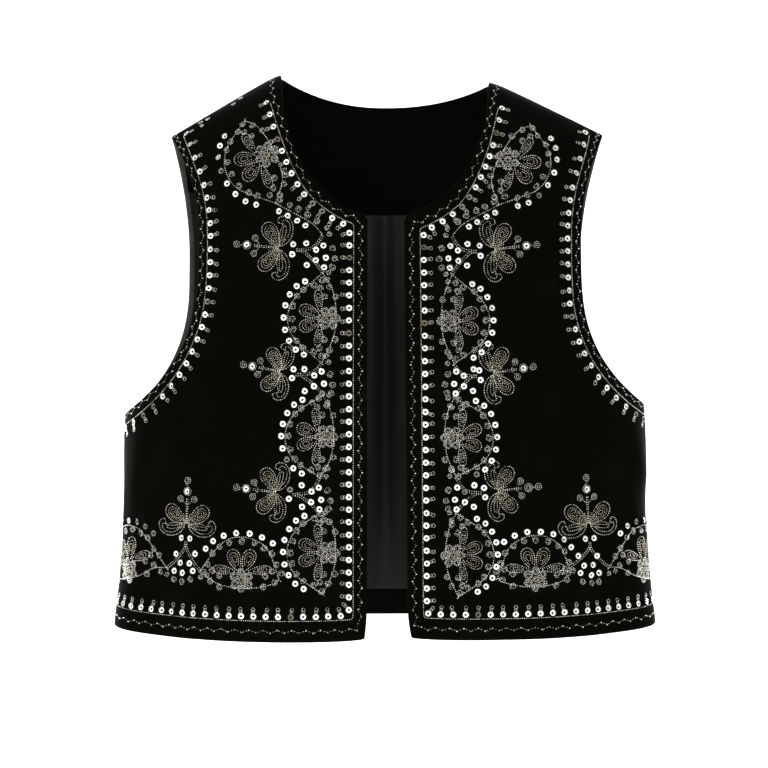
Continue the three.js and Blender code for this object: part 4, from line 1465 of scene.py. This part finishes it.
film = metallised_film()
SEQUIN_SIDES = 16
SEQUIN_RADIUS = 2.5
SEQUIN_PROFILE = [  # radius and height in mm, round the cup's section
    (0.85, 0.0), (1.6, 0.02), (SEQUIN_RADIUS, 0.5), (SEQUIN_RADIUS, 0.64), (1.6, 0.16), (0.85, 0.14),
]
SEQUIN_TILT = {"deviation": 0.11, "most": 0.2}  # in radians
SEQUIN_LIFT = 0.12  # mm from the pile's tips to its lowest side


def sequin_mesh(name, places, turned_over):
    ahead = np.tile([1.0, 0.0], (len(places), 1))
    out = np.full(len(places), VELVET / 2 + SEQUIN_LIFT)
    centre, along, across, normal = frames_on_cloth(places, ahead, turned_over, out)
    most = SEQUIN_TILT["most"]
    tilt = rng.normal(0, SEQUIN_TILT["deviation"], (len(places), 2)).clip(-most, most)
    normal = unit(normal + along * tilt[:, :1] + across * tilt[:, 1:])
    along = unit(np.cross(across, normal))
    across = np.cross(normal, along)
    centre = centre + normal * SEQUIN_RADIUS * np.abs(tilt).max(axis=1, keepdims=True)
    points = [
        centre + (along * math.cos(a) + across * math.sin(a)) * radius + normal * height
        for a in np.arange(SEQUIN_SIDES) * 2 * math.pi / SEQUIN_SIDES
        for radius, height in SEQUIN_PROFILE
    ]
    n, m = SEQUIN_SIDES, len(SEQUIN_PROFILE)
    faces = [
        (i * m + j, (i + 1) % n * m + j, (i + 1) % n * m + (j + 1) % m, i * m + (j + 1) % m)
        for i in range(n) for j in range(m)
    ]
    return joined_copies(name, points, faces, [film])


needlework = {}
for side_name, work in works.items():
    turned = side_name == "right"
    needlework[side_name] = [
        thread_mesh(f"front_{side_name}_border_thread", work.border, turned, [silver_thread]),
        thread_mesh(f"front_{side_name}_motif_thread", work.links, turned, [silver_thread, gold_thread]),
        sequin_mesh(f"front_{side_name}_sequins", work.sequins, turned),
    ]
    for piece, slot in zip(needlework[side_name], ("metal_thread", "metal_thread", "sequin")):
        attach(piece, "root")
        print(piece.name, "triangles:", sum(len(p.vertices) - 2 for p in piece.data.polygons))

# %% [markdown]
# ## The cut of each sheet
# A cutter needs each piece's size before it was sewn. The widest row and the longest column of a
# piece's grid, measured along the body with no folds, are the cloth that it was cut from, and the sum
# of the grid's cells is the piece's own area. The seams and turnings are left out of it.

# %% Flat sizes, in metres
def cut_size(grid):
    points = body_point(grid[..., 0], grid[..., 1]) * MM
    across, along = np.diff(points, axis=1), np.diff(points, axis=0)
    cells = np.linalg.norm(np.cross(across[:-1], along[:, :-1]), axis=-1)
    widest = np.linalg.norm(across, axis=-1).sum(axis=1).max()
    longest = np.linalg.norm(along, axis=-1).sum(axis=0).max()
    return (float(widest), float(longest)), float(cells.sum())


for name, piece in pieces.items():
    size, area = cut_size(grids[name])
    print(f"{name}: {size[0]:.3f} m by {size[1]:.3f} m, {area:.4f} square metres")

# %% [markdown]
# ## Studio
# The photo is a cut-out on white, taken from straight in front at the height of the chest. A long
# lens from 2.2 m keeps that flat, catalogue look. The sweep is a floor that turns up into a wall.

# %% Camera, as in the photo
CAMERA_AT = (-0.0008, -2.2, -0.2303)
MM_PER_PIXEL = 5 / 6  # at the body's side line, from the 5 mm sequins
PHOTO_PIXELS = 768
camera_data = bpy.data.cameras.new("camera")
camera_data.sensor_width = 36
camera_data.lens = camera_data.sensor_width * -CAMERA_AT[1] / (PHOTO_PIXELS * MM_PER_PIXEL * MM)
camera = add_object("camera", camera_data)
camera.location = CAMERA_AT
camera.rotation_euler = (90 * DEG, 0, 0)
bpy.context.scene.camera = camera
print("lens, mm:", round(camera_data.lens, 2))

# %% Pale sweep, lights and world
def pale_paper():
    material, place = new_material("pale_paper_sweep")
    grain = add_noise(material, place, 40, 3)
    colour = add_ramp(material, (grain, "Fac"), [(0.3, "#fbfbfa"), (0.7, "#ffffff")])
    return finish_material(material, {
        "Base Color": (colour, "Color"), "Roughness": 0.95, "Emission Color": (colour, "Color"),
        "Emission Strength": 0.5,
    })


FLOOR_Z = -0.72
SWEEP = {"half_width": 4.5, "front": -4.5, "turn": 2.2, "radius": 0.9, "top": 3.2, "steps": 16}


def paper_sweep():
    turn = SWEEP["turn"]
    angles = np.linspace(0, math.pi / 2, SWEEP["steps"] + 1)
    line = [(SWEEP["front"], FLOOR_Z)]
    line += [
        (turn + SWEEP["radius"] * math.sin(a), FLOOR_Z + SWEEP["radius"] * (1 - math.cos(a)))
        for a in angles
    ]
    line.append((turn + SWEEP["radius"], SWEEP["top"]))
    points = [(side * SWEEP["half_width"], y, z) for y, z in line for side in (-1, 1)]
    faces = [(2 * i, 2 * i + 1, 2 * i + 3, 2 * i + 2) for i in range(len(line) - 1)]
    return add_mesh("paper_sweep", np.array(points) / MM, faces, [pale_paper()])


paper_sweep()


def softbox(name, place, aim, size, watts):
    data = bpy.data.lights.new(name, "AREA")
    data.shape = "RECTANGLE"
    data.size, data.size_y = size
    data.energy = watts
    lamp = add_object(name, data)
    lamp.location = place
    towards = np.array(aim) - np.array(place)
    rise = math.atan2(towards[2], math.hypot(towards[0], towards[1]))
    lamp.rotation_euler = (math.pi / 2 + rise, 0, math.atan2(towards[1], towards[0]) - math.pi / 2)
    lamp.visible_camera = False


softbox("front", (0, -3.6, 0.35), (0, 0, -0.2), (2.6, 2.2), 30)
softbox("key", (-1.7, -1.9, 1.5), (0, 0, -0.2), (1.2, 1.0), 24)
softbox("top", (0, 0.4, 2.4), (0, 0, -0.2), (2.4, 1.4), 22)
softbox("rear_right", (-1.8, 1.7, -0.1), (0, 0, -0.22), (0.9, 1.2), 60)
softbox("rear_left", (1.9, 1.5, -0.2), (0, 0, -0.22), (0.9, 1.2), 40)
world = bpy.data.worlds.new("studio_white")
world.use_nodes = True
world.node_tree.nodes["Background"].inputs["Color"].default_value = linear("#fdfdfc")
world.node_tree.nodes["Background"].inputs["Strength"].default_value = 0.6
bpy.context.scene.world = world
bpy.context.scene.view_settings.view_transform = "Standard"
